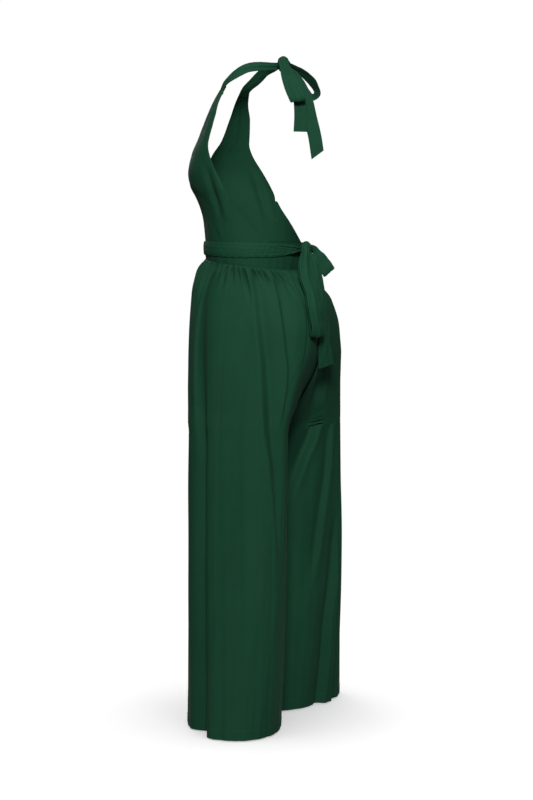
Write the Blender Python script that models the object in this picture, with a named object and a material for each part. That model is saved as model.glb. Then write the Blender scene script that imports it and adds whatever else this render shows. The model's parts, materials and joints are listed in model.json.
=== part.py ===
"""Halter-neck, open-backed, wide-leg jumpsuit with a tie belt, worn shape, no wearer.

Metres, +Z up, front of the garment towards -Y, wearer's left towards +X.
The origin is the inside of the halter tie at the nape, on the centre plane.
Every piece is a thin wall of cloth, lofted through sections worked out from
the named sizes and the short tables below.
"""
import math

import bpy
import bmesh
import numpy as np

for _o in list(bpy.data.objects):
    bpy.data.objects.remove(_o, do_unlink=True)

# ----------------------------------------------------------------- sizes ----
GAP = 0.0003            # space kept at every seam
NAPE_BACK = 0.049       # nape lies this far behind the waist axis
T_LEG = 0.0014          # cloth of the trousers
T_BOD = 0.0018          # bodice, cloth folded to a clean edge
T_BAND = 0.0016         # waistband
T_TIE = 0.0018          # ties, double cloth turned out

WAIST_W, WAIST_D = 0.1345, 0.1045     # waistband half width, half depth
BAND_TOP = -0.3840                    # top of the waistband
BAND_LOW, BAND_SLOPE = -0.4290, 0.0130  # gathering seam: mid height, rise to the front
HEM = -1.4435                         # trouser hem
SIDE_SEAM = 88.0                      # angle of the bodice side seam from centre front

# Torso form the bodice hangs on: half width, front and back depth, centre,
# and the angles from centre front where the front piece starts and stops.
BODICE = (
    # z,      wide,   front,  back,   mid,     inner, outer
    (-0.3837, 0.1345, 0.1045, 0.1045, 0.0000,   0.0, 88.0),
    (-0.3400, 0.1350, 0.1090, 0.1000, 0.0000,   0.0, 87.5),
    (-0.2880, 0.1380, 0.1230, 0.0950, 0.0000,   4.0, 87.0),
    (-0.2600, 0.1420, 0.1330, 0.0950, 0.0000,   9.0, 82.0),
    (-0.2300, 0.1420, 0.1360, 0.0950, 0.0000,  14.0, 75.0),
    (-0.1900, 0.1390, 0.1340, 0.0950, 0.0000,  22.0, 65.0),
    (-0.1600, 0.1350, 0.1240, 0.0950, 0.0000,  28.0, 60.0),
    (-0.1100, 0.1180, 0.1060, 0.0950, 0.0000,  33.0, 59.5),
    (-0.0700, 0.0980, 0.0890, 0.0950, 0.0000,  37.0, 56.0),
    (-0.0440, 0.0830, 0.0740, 0.0950, 0.0000,  41.0, 56.0),
)
BUST = (38.0, -0.236, 0.013, 24.0, 0.052)   # angle, height, fullness, spread in angle, spread in height

# Back edge of the side-back piece: height and angle from centre front.
BACK_EDGE = (
    # z,      angle
    (-0.3837, 134.0),
    (-0.3650, 123.0),
    (-0.3340, 107.5),
    (-0.3100,  96.0),
    (-0.2920,  89.0),
)

# Trouser leg, left: one closed ring per height about the leg, cut at the
# centre plane above the crotch. side = outermost x, inner = innermost x
# (below zero the ring is cut at the centre plane), cf/cb = x of the front and
# back crowns, front/back = their depth (rback on the right leg), f/b + o/i =
# fullness of the outer and inner quarters (2 is round, 1 is straight, 3 is
# square; rbo on the right leg).
LEG = (
    # z,      side,   inner,   cf,     front,  fo,  fi,  cb,     back,   rback,  bo,  rbo, bi
    (-0.4290, 0.1350, -0.1350, 0.000,  0.1050, 2.0, 2.0, 0.000,  0.1050, 0.1050, 2.0, 2.0, 2.0),
    (-0.4600, 0.1460, -0.1460, 0.000,  0.1230, 2.1, 2.1, 0.000,  0.1340, 0.1340, 2.1, 2.1, 2.1),
    (-0.5000, 0.1620, -0.1800, 0.004,  0.1280, 2.2, 2.2, 0.020,  0.1580, 0.1590, 2.2, 2.2, 2.1),
    (-0.5600, 0.1790, -0.2400, 0.015,  0.1270, 2.2, 2.2, 0.055,  0.1660, 0.1670, 2.2, 2.2, 1.9),
    (-0.6200, 0.1890, -0.2700, 0.030,  0.1240, 2.2, 2.2, 0.080,  0.1610, 0.1650, 2.2, 2.2, 1.8),
    (-0.6600, 0.1940, -0.2500, 0.045,  0.1200, 2.2, 2.0, 0.105,  0.1530, 0.1570, 2.2, 2.2, 1.7),
    (-0.7000, 0.1980, -0.1400, 0.060,  0.1160, 2.2, 1.8, 0.125,  0.1440, 0.1500, 2.2, 2.2, 1.7),
    (-0.7400, 0.2020, -0.0740, 0.070,  0.1120, 2.2, 1.8, 0.140,  0.1360, 0.1460, 2.2, 2.2, 1.7),
    (-0.7700, 0.2060, -0.0260, 0.080,  0.1090, 2.2, 1.8, 0.148,  0.1310, 0.1440, 2.2, 2.2, 1.7),
    (-0.7950, 0.2080,  0.0000, 0.085,  0.1070, 2.1, 1.8, 0.150,  0.1290, 0.1425, 2.2, 2.3, 1.7),
    (-0.8600, 0.2130,  0.0030, 0.088,  0.1060, 2.1, 1.8, 0.150,  0.1280, 0.1410, 2.2, 2.4, 1.7),
    (-1.1000, 0.2260,  0.0040, 0.088,  0.1090, 1.9, 2.0, 0.150,  0.1250, 0.1370, 2.2, 2.8, 1.7),
    (-1.3000, 0.2380,  0.0040, 0.084,  0.1130, 1.7, 2.2, 0.150,  0.1180, 0.1280, 2.2, 3.4, 1.8),
    (-1.4435, 0.2470,  0.0040, 0.080,  0.1180, 1.6, 2.2, 0.150,  0.1090, 0.1170, 2.2, 4.5, 1.8),
)
CROTCH = -0.7950

# Largest folds: where round the leg, in degrees (0 front crown, 90 side seam,
# 180 back crown, 270 inside), at the top and foot of the fold, its span in
# height, depth (+ ridge, - trough) at top and foot, and half width.
FOLDS_LEFT = (
    # at_top, at_foot, z_top,  z_foot,  d_top,   d_foot, half
    (64.0,    60.0,  -0.430, -1.4435, -0.0030, -0.0340, 0.015),
    (84.0,    84.0,  -0.430, -1.4435,  0.0010,  0.0030, 0.016),
    (118.0,  148.0,  -0.430, -0.980,  -0.0060, -0.0010, 0.009),
    (142.0,  160.0,  -0.430, -1.200,  -0.0060, -0.0010, 0.009),
    (130.0,  154.0,  -0.430, -1.100,   0.0035,  0.0010, 0.016),
    (158.0,  168.0,  -0.430, -0.700,  -0.0060, -0.0010, 0.009),
    (22.0,    10.0,  -0.430, -1.200,  -0.0050, -0.0030, 0.012),
    (42.0,    24.0,  -0.430, -1.000,   0.0040,  0.0010, 0.014),
)
FOLDS_RIGHT = (
    # at_top, at_foot, z_top,  z_foot,  d_top,   d_foot, half
    (62.0,    56.0,  -0.430, -1.4435, -0.0040, -0.0260, 0.015),
    (112.0,  128.0,  -0.430, -1.150,  -0.0055, -0.0010, 0.010),
    (135.0,  140.0,  -0.640, -1.4435,  0.0010,  0.0200, 0.040),
    (150.0,  158.0,  -0.430, -1.4435, -0.0050, -0.0110, 0.012),
    (165.0,  176.0,  -0.430, -1.4435,  0.0030,  0.0060, 0.018),
    (24.0,    12.0,  -0.430, -1.200,  -0.0050, -0.0030, 0.012),
    (44.0,    28.0,  -0.430, -1.000,   0.0040,  0.0010, 0.014),
)

# Belt, laid round the waist from the knot at centre back to the knot again:
# turns through 360 degrees; upper and lower edge by angle from centre front.
BELT = (
    # angle, top,     low
    (0.0,   -0.3800, -0.4085),
    (60.0,  -0.3805, -0.4110),
    (100.0, -0.3815, -0.4140),
    (135.0, -0.3840, -0.4140),
    (160.0, -0.3880, -0.4080),
    (168.0, -0.3910, -0.4050),
)

# Knots: centre (from the waist axis) and half sizes.
NECK_KNOT = ((0.0, 0.0665, 0.0040), (0.0160, 0.0150, 0.0165))
BELT_KNOT = ((0.0, 0.1205, -0.3960), (0.0190, 0.0125, 0.0150))

# Ribbons. Each row is a place along the ribbon's middle line (from the waist
# axis), its width there and the way its face looks.
NECK_STRAP = (
    # x,      y,       z,       wide,   fx,    fy,    fz
    ( 0.0720, -0.0430, -0.0410, 0.0260,  0.35, -0.45,  0.80),
    ( 0.0700, -0.0330, -0.0310, 0.0240,  0.60, -0.20,  0.75),
    ( 0.0640, -0.0170, -0.0180, 0.0230,  0.80,  0.05,  0.58),
    ( 0.0540,  0.0000, -0.0070, 0.0220,  0.80,  0.35,  0.45),
    ( 0.0400,  0.0180, -0.0020, 0.0210,  0.70,  0.60,  0.35),
    ( 0.0220,  0.0340, -0.0010, 0.0190,  0.40,  0.88,  0.22),
    ( 0.0002,  0.0500, -0.0000, 0.0170,  0.00,  1.00,  0.15),
)
NECK_LOOP_NEAR = (
    # x,      y,       z,       wide,   fx,    fy,    fz
    ( 0.0205,  0.0730,  0.0060, 0.0100,  0.55,  0.45,  0.65),
    ( 0.0245,  0.0800, -0.0050, 0.0200,  0.78,  0.48,  0.35),
    ( 0.0290,  0.0890, -0.0250, 0.0290,  0.86,  0.44,  0.22),
    ( 0.0340,  0.0995, -0.0470, 0.0320,  0.90,  0.38,  0.16),
    ( 0.0360,  0.1095, -0.0670, 0.0330,  0.92,  0.38,  0.00),
    ( 0.0340,  0.1140, -0.0770, 0.0330,  0.55,  0.30, -0.80),
    ( 0.0280,  0.1110, -0.0770, 0.0330, -0.55, -0.30, -0.80),
    ( 0.0250,  0.1040, -0.0620, 0.0320, -0.92, -0.38,  0.00),
    ( 0.0225,  0.0930, -0.0400, 0.0280, -0.90, -0.40, -0.10),
    ( 0.0190,  0.0830, -0.0200, 0.0200, -0.90, -0.40, -0.10),
    ( 0.0160,  0.0760, -0.0080, 0.0120, -0.80, -0.45, -0.25),
)
NECK_TAIL_NEAR = (
    # x,      y,       z,       wide,   fx,    fy,    fz
    ( 0.0040,  0.0764, -0.0092, 0.0110,  0.85,  0.45,  0.35),
    ( 0.0070,  0.0870, -0.0240, 0.0190,  0.88,  0.45,  0.20),
    ( 0.0110,  0.0990, -0.0450, 0.0240,  0.90,  0.42,  0.10),
    ( 0.0130,  0.1090, -0.0720, 0.0270,  0.93,  0.38,  0.00),
    ( 0.0130,  0.1120, -0.1050, 0.0280,  0.93,  0.38,  0.00),
    ( 0.0130,  0.1110, -0.1430, 0.0290,  0.93,  0.38,  0.00),
)
NECK_TAIL_FAR = (
    # x,      y,       z,       wide,   fx,    fy,    fz
    (-0.0045,  0.0780, -0.0082, 0.0110,  0.80,  0.45,  0.40),
    (-0.0050,  0.0910, -0.0210, 0.0190,  0.86,  0.48,  0.20),
    (-0.0050,  0.1050, -0.0440, 0.0250,  0.90,  0.44,  0.10),
    (-0.0040,  0.1190, -0.0760, 0.0280,  0.93,  0.38,  0.00),
    (-0.0040,  0.1280, -0.1130, 0.0290,  0.93,  0.38,  0.00),
    (-0.0040,  0.1380, -0.1520, 0.0290,  0.93,  0.38,  0.00),
    (-0.0040,  0.1450, -0.1930, 0.0290,  0.93,  0.38,  0.00),
)
NECK_LOOP_FAR = (
    # x,      y,       z,       wide,   fx,    fy,    fz
    (-0.0170,  0.0760,  0.0020, 0.0120, -0.50,  0.40,  0.75),
    (-0.0230,  0.0900, -0.0060, 0.0210, -0.65,  0.35,  0.66),
    (-0.0280,  0.1060, -0.0180, 0.0280, -0.72,  0.35,  0.60),
    (-0.0320,  0.1220, -0.0340, 0.0300, -0.74,  0.45,  0.50),
    (-0.0330,  0.1320, -0.0520, 0.0300, -0.68,  0.68,  0.10),
    (-0.0310,  0.1310, -0.0640, 0.0290, -0.55,  0.20, -0.80),
    (-0.0280,  0.1190, -0.0660, 0.0280, -0.40, -0.65, -0.65),
    (-0.0250,  0.1090, -0.0520, 0.0260, -0.30, -0.82, -0.45),
    (-0.0220,  0.0960, -0.0290, 0.0200, -0.20, -0.80, -0.55),
    (-0.0160,  0.0850, -0.0130, 0.0120, -0.10, -0.80, -0.60),
)
BELT_LOOP_NEAR = (
    # x,      y,       z,       wide,   fx,    fy,    fz
    ( 0.0245,  0.1255, -0.3955, 0.0100,  0.30,  0.90,  0.25),
    ( 0.0300,  0.1280, -0.4060, 0.0210,  0.45,  0.88,  0.10),
    ( 0.0380,  0.1300, -0.4270, 0.0300,  0.55,  0.83,  0.08),
    ( 0.0500,  0.1385, -0.4560, 0.0310,  0.55,  0.83,  0.15),
    ( 0.0650,  0.1565, -0.4880, 0.0320,  0.50,  0.85,  0.20),
    ( 0.0820,  0.1690, -0.5190, 0.0340,  0.40,  0.90,  0.20),
    ( 0.0840,  0.1755, -0.5480, 0.0380,  0.28,  0.95,  0.10),
    ( 0.0820,  0.1780, -0.5700, 0.0420,  0.25,  0.93, -0.30),
    ( 0.0800,  0.1750, -0.5810, 0.0420,  0.03,  0.10, -1.00),
    ( 0.0785,  0.1710, -0.5730, 0.0420, -0.25, -0.96, -0.10),
    ( 0.0805,  0.1685, -0.5480, 0.0360, -0.28, -0.95, -0.10),
    ( 0.0785,  0.1625, -0.5190, 0.0320, -0.40, -0.90, -0.20),
    ( 0.0625,  0.1510, -0.4880, 0.0300, -0.50, -0.85, -0.20),
    ( 0.0465,  0.1325, -0.4560, 0.0280, -0.55, -0.83, -0.15),
    ( 0.0350,  0.1240, -0.4300, 0.0220, -0.55, -0.83, -0.08),
    ( 0.0240,  0.1225, -0.4120, 0.0140, -0.45, -0.85, -0.10),
)
BELT_TAIL_FAR = (
    # x,      y,       z,       wide,   fx,    fy,    fz
    ( 0.0010,  0.1308, -0.4072, 0.0110,  0.10,  0.85,  0.50),
    ( 0.0040,  0.1400, -0.4220, 0.0220,  0.45,  0.87,  0.15),
    ( 0.0100,  0.1470, -0.4420, 0.0290,  0.40,  0.90,  0.20),
    ( 0.0210,  0.1590, -0.4760, 0.0340,  0.25,  0.95,  0.20),
    ( 0.0310,  0.1710, -0.5210, 0.0390,  0.12,  0.98,  0.12),
    ( 0.0240,  0.1735, -0.5680, 0.0410,  0.15,  0.98,  0.02),
    ( 0.0190,  0.1715, -0.6120, 0.0420,  0.36,  0.93,  0.00),
    ( 0.0085,  0.1710, -0.6520, 0.0450,  0.50,  0.86,  0.00),
)
BELT_LOOP_FAR = (
    # x,      y,       z,       wide,   fx,    fy,    fz
    (-0.0250,  0.1300, -0.3975, 0.0110,  0.80,  0.45,  0.40),
    (-0.0265,  0.1345, -0.4045, 0.0180,  0.88,  0.42,  0.20),
    (-0.0270,  0.1410, -0.4150, 0.0270,  0.92,  0.38,  0.05),
    (-0.0300,  0.1500, -0.4300, 0.0300,  0.92,  0.38,  0.00),
    (-0.0320,  0.1570, -0.4420, 0.0300,  0.80,  0.50, -0.20),
    (-0.0365,  0.1610, -0.4490, 0.0300,  0.00,  0.68, -0.72),
    (-0.0430,  0.1570, -0.4450, 0.0290, -0.85,  0.00, -0.45),
    (-0.0450,  0.1480, -0.4310, 0.0270, -0.92, -0.38,  0.00),
    (-0.0430,  0.1400, -0.4180, 0.0200, -0.92, -0.38,  0.00),
    (-0.0390,  0.1330, -0.4080, 0.0110, -0.85, -0.40, -0.10),
)
TURN_END_SLANT = 0.0150     # the far neck tail is cut on a slant, one corner this much lower

GREEN = (0.0140, 0.0720, 0.0300, 1.0)


# ------------------------------------------------------------- functions ----
def smooth_column(rows, key, col, at):
    """Monotone cubic through one column of a table, at any key value."""
    xs = [r[key] for r in rows]
    ys = [r[col] for r in rows]
    if xs[0] > xs[-1]:
        xs, ys = xs[::-1], ys[::-1]
    if at <= xs[0]:
        return ys[0]
    if at >= xs[-1]:
        return ys[-1]
    d = [(ys[i + 1] - ys[i]) / (xs[i + 1] - xs[i]) for i in range(len(xs) - 1)]
    m = [d[0]] + [0.0] * (len(xs) - 2) + [d[-1]]
    for i in range(1, len(xs) - 1):
        if d[i - 1] * d[i] > 0:
            h0, h1 = xs[i] - xs[i - 1], xs[i + 1] - xs[i]
            w0, w1 = 2 * h1 + h0, h1 + 2 * h0
            m[i] = (w0 + w1) / (w0 / d[i - 1] + w1 / d[i])
    i = max(k for k in range(len(xs) - 1) if xs[k] <= at)
    h = xs[i + 1] - xs[i]
    t = (at - xs[i]) / h
    return ((1 + 2 * t) * (1 - t) ** 2 * ys[i] + t * (1 - t) ** 2 * h * m[i]
            + t * t * (3 - 2 * t) * ys[i + 1] + t * t * (t - 1) * h * m[i + 1])


def mix(a, b, k):
    return a + (b - a) * k


def ease(k):
    k = min(1.0, max(0.0, k))
    return k * k * (3 - 2 * k)


def band_low(angle):
    """Height of the gathering seam at an angle from centre front."""
    return BAND_LOW + BAND_SLOPE * math.cos(math.radians(angle))


def leg_cut(z, half):
    """Angle past the front (or back) crown where the ring meets the centre plane."""
    if z <= CROTCH:
        return math.pi / 2
    inner = smooth_column(LEG, 0, 2, z)
    crown = smooth_column(LEG, 0, 3 if half == "front" else 7, z)
    full = smooth_column(LEG, 0, 6 if half == "front" else 12, z)
    k = crown / (crown - inner)
    return math.asin(min(1.0, k ** (full / 2)))


def leg_ring(a, z, right=False):
    """The plain ring of the left leg (x > 0): angle a from the front crown, height z."""
    side = smooth_column(LEG, 0, 1, z)
    inner = smooth_column(LEG, 0, 2, z)
    s, c = math.sin(a), math.cos(a)
    if c >= 0:
        crown, depth = smooth_column(LEG, 0, 3, z), -smooth_column(LEG, 0, 4, z)
        full = smooth_column(LEG, 0, 5 if s >= 0 else 6, z)
    else:
        crown, depth = smooth_column(LEG, 0, 7, z), smooth_column(LEG, 0, 9 if right else 8, z)
        full = smooth_column(LEG, 0, (11 if right else 10) if s >= 0 else 12, z)
    reach = (side - crown) if s >= 0 else (inner - crown)
    return crown + reach * abs(s) ** (2 / full), depth * abs(c) ** (2 / full)


def fold_shift(a, z, folds, pace):
    """Sum of the folds at angle a; pace is metres along the ring per degree."""
    out = 0.0
    deg = math.degrees(a)
    for at0, at1, z0, z1, d0, d1, half in folds:
        if z > z0 + 0.001 or z < z1 - 0.001:
            continue
        k = max(0.0, (z0 - z) / (z0 - z1))
        fade = ease((z - z1) / 0.10) if z1 > HEM + 0.01 else 1.0
        away = (deg - mix(at0, at1, k ** 0.8)) * pace / (half * (1 + 0.8 * k))
        out += mix(d0, d1, k) * fade * math.exp(-away * away)
    return out


def leg_surface(u, v, right=False, lift=0.0):
    """Point on the outer face: u round the panel, v from the gathering seam (0) to the hem (1)."""
    z = mix(BAND_LOW, HEM, v)
    a0, a1 = -leg_cut(z, "front"), math.pi + leg_cut(z, "back")
    a = mix(a0, math.pi / 2, u * 2) if u < 0.5 else mix(math.pi / 2, a1, u * 2 - 1)
    e = math.radians(1.5)
    x, y = leg_ring(a, z, right)
    xa, ya = leg_ring(a - e, z, right)
    xb, yb = leg_ring(a + e, z, right)
    tx, ty = xb - xa, yb - ya
    n = math.hypot(tx, ty) or 1.0
    shift = fold_shift(a, z, FOLDS_RIGHT if right else FOLDS_LEFT, n / 3.0)
    shift *= ease(min(u, 1 - u) / 0.06) * ease(0.25 + v / 0.03)
    shift += lift
    drop = BAND_SLOPE * math.cos(math.atan2(x / WAIST_W, -y / WAIST_D)) * (1 - ease(v / 0.25))
    return np.array([x + ty / n * shift, y - tx / n * shift, z + drop])


def torso_point(angle, z):
    wide = smooth_column(BODICE, 0, 1, z)
    front = smooth_column(BODICE, 0, 2, z)
    back = smooth_column(BODICE, 0, 3, z)
    mid = smooth_column(BODICE, 0, 4, z)
    a = math.radians(angle)
    depth = front if angle < 90 else back
    b_at, b_z, b_full, b_wide, b_high = BUST
    bump = b_full * math.exp(-((angle - b_at) / b_wide) ** 2 - ((z - b_z) / b_high) ** 2)
    x = (wide + bump) * math.sin(a)
    y = mid - (depth + bump) * math.cos(a)
    return np.array([x, y, z])


def surface_normals(fn, us, vs, sign):
    """Outward unit normals of fn(u, v) by small differences."""
    out = []
    e = 2e-3
    for v in vs:
        row = []
        for u in us[v] if isinstance(us, dict) else us:
            du = fn(min(1, u + e), v) - fn(max(0, u - e), v)
            dv = fn(u, min(1, v + e)) - fn(u, max(0, v - e))
            n = np.cross(du, dv) * sign
            row.append(n / (np.linalg.norm(n) or 1.0))
        out.append(row)
    return np.array(out)


def new_object(name, verts, faces, colour=GREEN):
    mesh = bpy.data.meshes.new(name)
    mesh.from_pydata([tuple(float(c) for c in v) for v in verts], [], faces)
    mesh.update()
    bm = bmesh.new()
    bm.from_mesh(mesh)
    bmesh.ops.recalc_face_normals(bm, faces=bm.faces)
    if bm.calc_volume(signed=True) < 0:
        bmesh.ops.reverse_faces(bm, faces=bm.faces)
    bmesh.ops.triangulate(bm, faces=bm.faces)
    bm.to_mesh(mesh)
    bm.free()
    mesh.shade_smooth()
    mesh.set_sharp_from_angle(angle=math.radians(50))
    mat = bpy.data.materials.new(name + "_cloth")
    mat.use_nodes = True
    b = mat.node_tree.nodes["Principled BSDF"]
    b.inputs["Base Color"].default_value = colour
    b.inputs["Roughness"].default_value = 0.78
    b.inputs["Metallic"].default_value = 0.0
    mesh.materials.append(mat)
    obj = bpy.data.objects.new(name, mesh)
    bpy.context.scene.collection.objects.link(obj)
    return obj


def wall(name, face, back, ring=False):
    """Closed wall between two grids of points, rows by columns."""
    r, c = face.shape[:2]
    pts = np.concatenate([face.reshape(-1, 3), back.reshape(-1, 3)])
    pts = pts - np.array([0.0, NAPE_BACK, 0.0])
    off = r * c

    def at(i, j, layer):
        return layer * off + i * c + (j % c)

    faces = []
    cols = c if ring else c - 1
    for i in range(r - 1):
        for j in range(cols):
            faces.append((at(i, j, 0), at(i, j + 1, 0), at(i + 1, j + 1, 0), at(i + 1, j, 0)))
            faces.append((at(i, j, 1), at(i + 1, j, 1), at(i + 1, j + 1, 1), at(i, j + 1, 1)))
    for j in range(cols):
        faces.append((at(0, j, 0), at(0, j, 1), at(0, j + 1, 1), at(0, j + 1, 0)))
        faces.append((at(r - 1, j, 0), at(r - 1, j + 1, 0), at(r - 1, j + 1, 1), at(r - 1, j, 1)))
    if not ring:
        for i in range(r - 1):
            faces.append((at(i, 0, 0), at(i + 1, 0, 0), at(i + 1, 0, 1), at(i, 0, 1)))
            faces.append((at(i, c - 1, 0), at(i, c - 1, 1), at(i + 1, c - 1, 1), at(i + 1, c - 1, 0)))
    return new_object(name, pts, faces)


def panel(name, fn, us, vs, thick, sign, mirror=False, clear=None):
    """Wall under the face fn(u, v); clear keeps x at least that far from the centre plane."""
    face = np.array([[fn(u, v) for u in us] for v in vs])
    norm = surface_normals(fn, us, vs, sign)
    back = face - norm * thick
    if clear is not None:
        face[:, :, 0] = np.maximum(face[:, :, 0], clear)
        back[:, :, 0] = np.maximum(back[:, :, 0], clear)
    if mirror:
        face[:, :, 0] *= -1
        back[:, :, 0] *= -1
    return wall(name, face, back)


def spread(a, b, n):
    return [mix(a, b, i / (n - 1)) for i in range(n)]


# -------------------------------------------------------------- trousers ----
LEG_ROWS = (
    # heights where a row of the loft lies
    -0.4290, -0.4400, -0.4580, -0.4850, -0.5200, -0.5650, -0.6100, -0.6550,
    -0.6950, -0.7300, -0.7600, -0.7830, -0.7960, -0.8600, -0.9800, -1.1000, -1.2200, -1.3400, -1.4435,
)


def leg_panels(side, right):
    vs = [(BAND_LOW - z) / (BAND_LOW - HEM) for z in LEG_ROWS]
    seam = 0.5 * GAP / 0.36

    def outer(u, v):
        return leg_surface(u, v, right)

    panel("trouser_" + side + "_front", outer, spread(0.0006, 0.5 - seam, 12), vs, T_LEG, -1, right, 0.5 * GAP)
    panel("trouser_" + side + "_back", outer, spread(0.5 + seam, 0.9994, 14), vs, T_LEG, -1, right, 0.5 * GAP)


leg_panels("left", False)
leg_panels("right", True)


# ------------------------------------------------------------- waistband ----
def band_face(angle, z, out=0.0):
    a = math.radians(angle)
    return np.array([(WAIST_W + out) * math.sin(a), -(WAIST_D + out) * math.cos(a), z])


def waistband(name, a0, a1, n):
    angles = spread(a0, a1, n)
    face = np.array([[band_face(a, mix(BAND_TOP, band_low(a) + GAP, k)) for a in angles] for k in (0.0, 1.0)])
    back = np.array([[band_face(a, mix(BAND_TOP, band_low(a) + GAP, k), -T_BAND) for a in angles] for k in (0.0, 1.0)])
    return wall(name, face, back)


HALF = math.degrees(0.5 * GAP / WAIST_D)
waistband("waistband_front", -SIDE_SEAM + HALF, SIDE_SEAM - HALF, 25)
waistband("waistband_back", SIDE_SEAM + HALF, 360 - SIDE_SEAM - HALF, 23)


# ---------------------------------------------------------------- bodice ----
def front_face(u, v):
    z = mix(BAND_TOP + 1.3 * GAP, -0.0440, v)
    a0, a1 = smooth_column(BODICE, 0, 5, z), smooth_column(BODICE, 0, 6, z)
    return torso_point(mix(a0, a1, u), z)


def back_face(u, v):
    z = mix(BAND_TOP + 1.3 * GAP, -0.2920, v)
    a1 = smooth_column(BACK_EDGE, 0, 1, z)
    return torso_point(mix(SIDE_SEAM + 2 * HALF, a1, u), z)


FRONT_ROWS = [0.0, 0.08, 0.16, 0.23, 0.29, 0.35, 0.41, 0.47, 0.54, 0.62, 0.71, 0.80, 0.90, 1.0]
for side, flip in (("left", False), ("right", True)):
    panel("bodice_front_" + side, front_face, spread(0.0, 1.0, 10), FRONT_ROWS, T_BOD, 1, flip, 0.5 * GAP)
    panel("bodice_back_" + side, back_face, spread(0.0, 1.0, 5), spread(0.0, 1.0, 7), T_BOD, 1, flip)


# --------------------------------------------------------------- ribbons ----
def ribbon_path(rows, count):
    """Smooth line through the rows: centre, width and face direction at even steps."""
    pts = np.array(rows, float)
    leg = np.r_[0.0, np.cumsum(np.linalg.norm(np.diff(pts[:, :3], axis=0), axis=1))]
    out = []
    for s in np.linspace(0, leg[-1], count):
        i = min(len(leg) - 2, max(0, int(np.searchsorted(leg, s, side="right")) - 1))
        t = (s - leg[i]) / (leg[i + 1] - leg[i])
        p0, p1 = pts[max(0, i - 1)], pts[i]
        p2, p3 = pts[i + 1], pts[min(len(pts) - 1, i + 2)]
        h = leg[i + 1] - leg[i]
        m1 = (p2 - p0) / max(1e-6, (leg[i + 1] - leg[max(0, i - 1)])) * h
        m2 = (p3 - p1) / max(1e-6, (leg[min(len(leg) - 1, i + 2)] - leg[i])) * h
        out.append((2 * t ** 3 - 3 * t ** 2 + 1) * p1 + (t ** 3 - 2 * t ** 2 + t) * m1
                   + (3 * t ** 2 - 2 * t ** 3) * p2 + (t ** 3 - t ** 2) * m2)
    return np.array(out)


def ribbon(name, rows, count, across=4, crown=0.0, slant=0.0, mirror=False, thick=T_TIE, clear=None):
    path = ribbon_path(rows, count)
    face, back = [], []
    for i, row in enumerate(path):
        ahead = path[min(count - 1, i + 1), :3] - path[max(0, i - 1), :3]
        ahead /= np.linalg.norm(ahead)
        look = row[4:7] - ahead * np.dot(row[4:7], ahead)
        look /= np.linalg.norm(look)
        wide = np.cross(look, ahead)
        f_row, b_row = [], []
        for k in range(across + 1):
            w = 2 * k / across - 1
            p = row[:3] + wide * (w * row[3] / 2) + look * (crown * row[3] * (1 - w * w))
            p = p + ahead * (-slant * w * 0.5 * ease((i / (count - 1) - 0.6) / 0.4))
            f_row.append(p + look * thick / 2)
            b_row.append(p - look * thick / 2)
        face.append(f_row)
        back.append(b_row)
    face, back = np.array(face), np.array(back)
    if clear is not None:
        face[:, :, 0] = np.maximum(face[:, :, 0], clear)
        back[:, :, 0] = np.maximum(back[:, :, 0], clear)
    if mirror:
        face[:, :, 0] *= -1
        back[:, :, 0] *= -1
    return wall(name, face, back)


def knot(name, spec):
    """Rounded lump of wound cloth with three shallow wraps."""
    (cx, cy, cz), (rx, ry, rz) = spec
    rows, cols = 7, 12
    verts = [(cx, cy - NAPE_BACK, cz + rz)]
    for i in range(1, rows):
        a = math.pi * i / rows
        for j in range(cols):
            b = 2 * math.pi * j / cols
            k = 1 - 0.05 * math.cos(3 * b + a)
            verts.append((cx + rx * k * math.sin(a) * math.cos(b),
                          cy - NAPE_BACK + ry * k * math.sin(a) * math.sin(b), cz + rz * math.cos(a)))
    verts.append((cx, cy - NAPE_BACK, cz - rz))
    faces = [(0, 1 + j, 1 + (j + 1) % cols) for j in range(cols)]
    for i in range(rows - 2):
        for j in range(cols):
            p, q = 1 + i * cols + j, 1 + i * cols + (j + 1) % cols
            faces.append((p, p + cols, q + cols, q))
    last = len(verts) - 1
    faces += [(last, 1 + (rows - 2) * cols + (j + 1) % cols, 1 + (rows - 2) * cols + j) for j in range(cols)]
    return new_object(name, verts, faces)


def belt():
    """Soft band round the waist, ending each side of the knot."""
    n = 37
    lim = 168.0
    face, back = [], []
    for k in (0.0, 1 / 3, 2 / 3, 1.0):
        f_row, b_row = [], []
        for angle in spread(-lim, lim, n):
            a = abs(angle)
            z = mix(smooth_column(BELT, 0, 1, a), smooth_column(BELT, 0, 2, a), k)
            swell = 0.0026 + 0.0016 * math.sin(math.pi * k) + 0.0060 * ease((a - 150) / 18)
            f_row.append(band_face(angle, z, swell + 0.0014))
            b_row.append(band_face(angle, z, swell - 0.0004))
        face.append(f_row)
        back.append(b_row)
    return wall("belt", np.array(face), np.array(back))


belt()
knot("belt_knot", BELT_KNOT)
ribbon("belt_loop_near", BELT_LOOP_NEAR, 26, 3, 0.04)
ribbon("belt_tail_far", BELT_TAIL_FAR, 12, 3, 0.05)
ribbon("belt_loop_far", BELT_LOOP_FAR, 18, 3, 0.0)
ribbon("neck_strap_left", NECK_STRAP, 12, 3, 0.06, clear=0.5 * GAP)
ribbon("neck_strap_right", NECK_STRAP, 12, 3, 0.06, mirror=True, clear=0.5 * GAP)
knot("neck_knot", NECK_KNOT)
ribbon("neck_loop_near", NECK_LOOP_NEAR, 18, 3, 0.05)
ribbon("neck_loop_far", NECK_LOOP_FAR, 18, 3, 0.0)
ribbon("neck_tail_near", NECK_TAIL_NEAR, 9, 3, 0.04)
ribbon("neck_tail_far", NECK_TAIL_FAR, 11, 3, 0.04, slant=TURN_END_SLANT)
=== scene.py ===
import json
import math

import bpy
import bmesh
import numpy as np
from mathutils import Matrix, Vector

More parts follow.
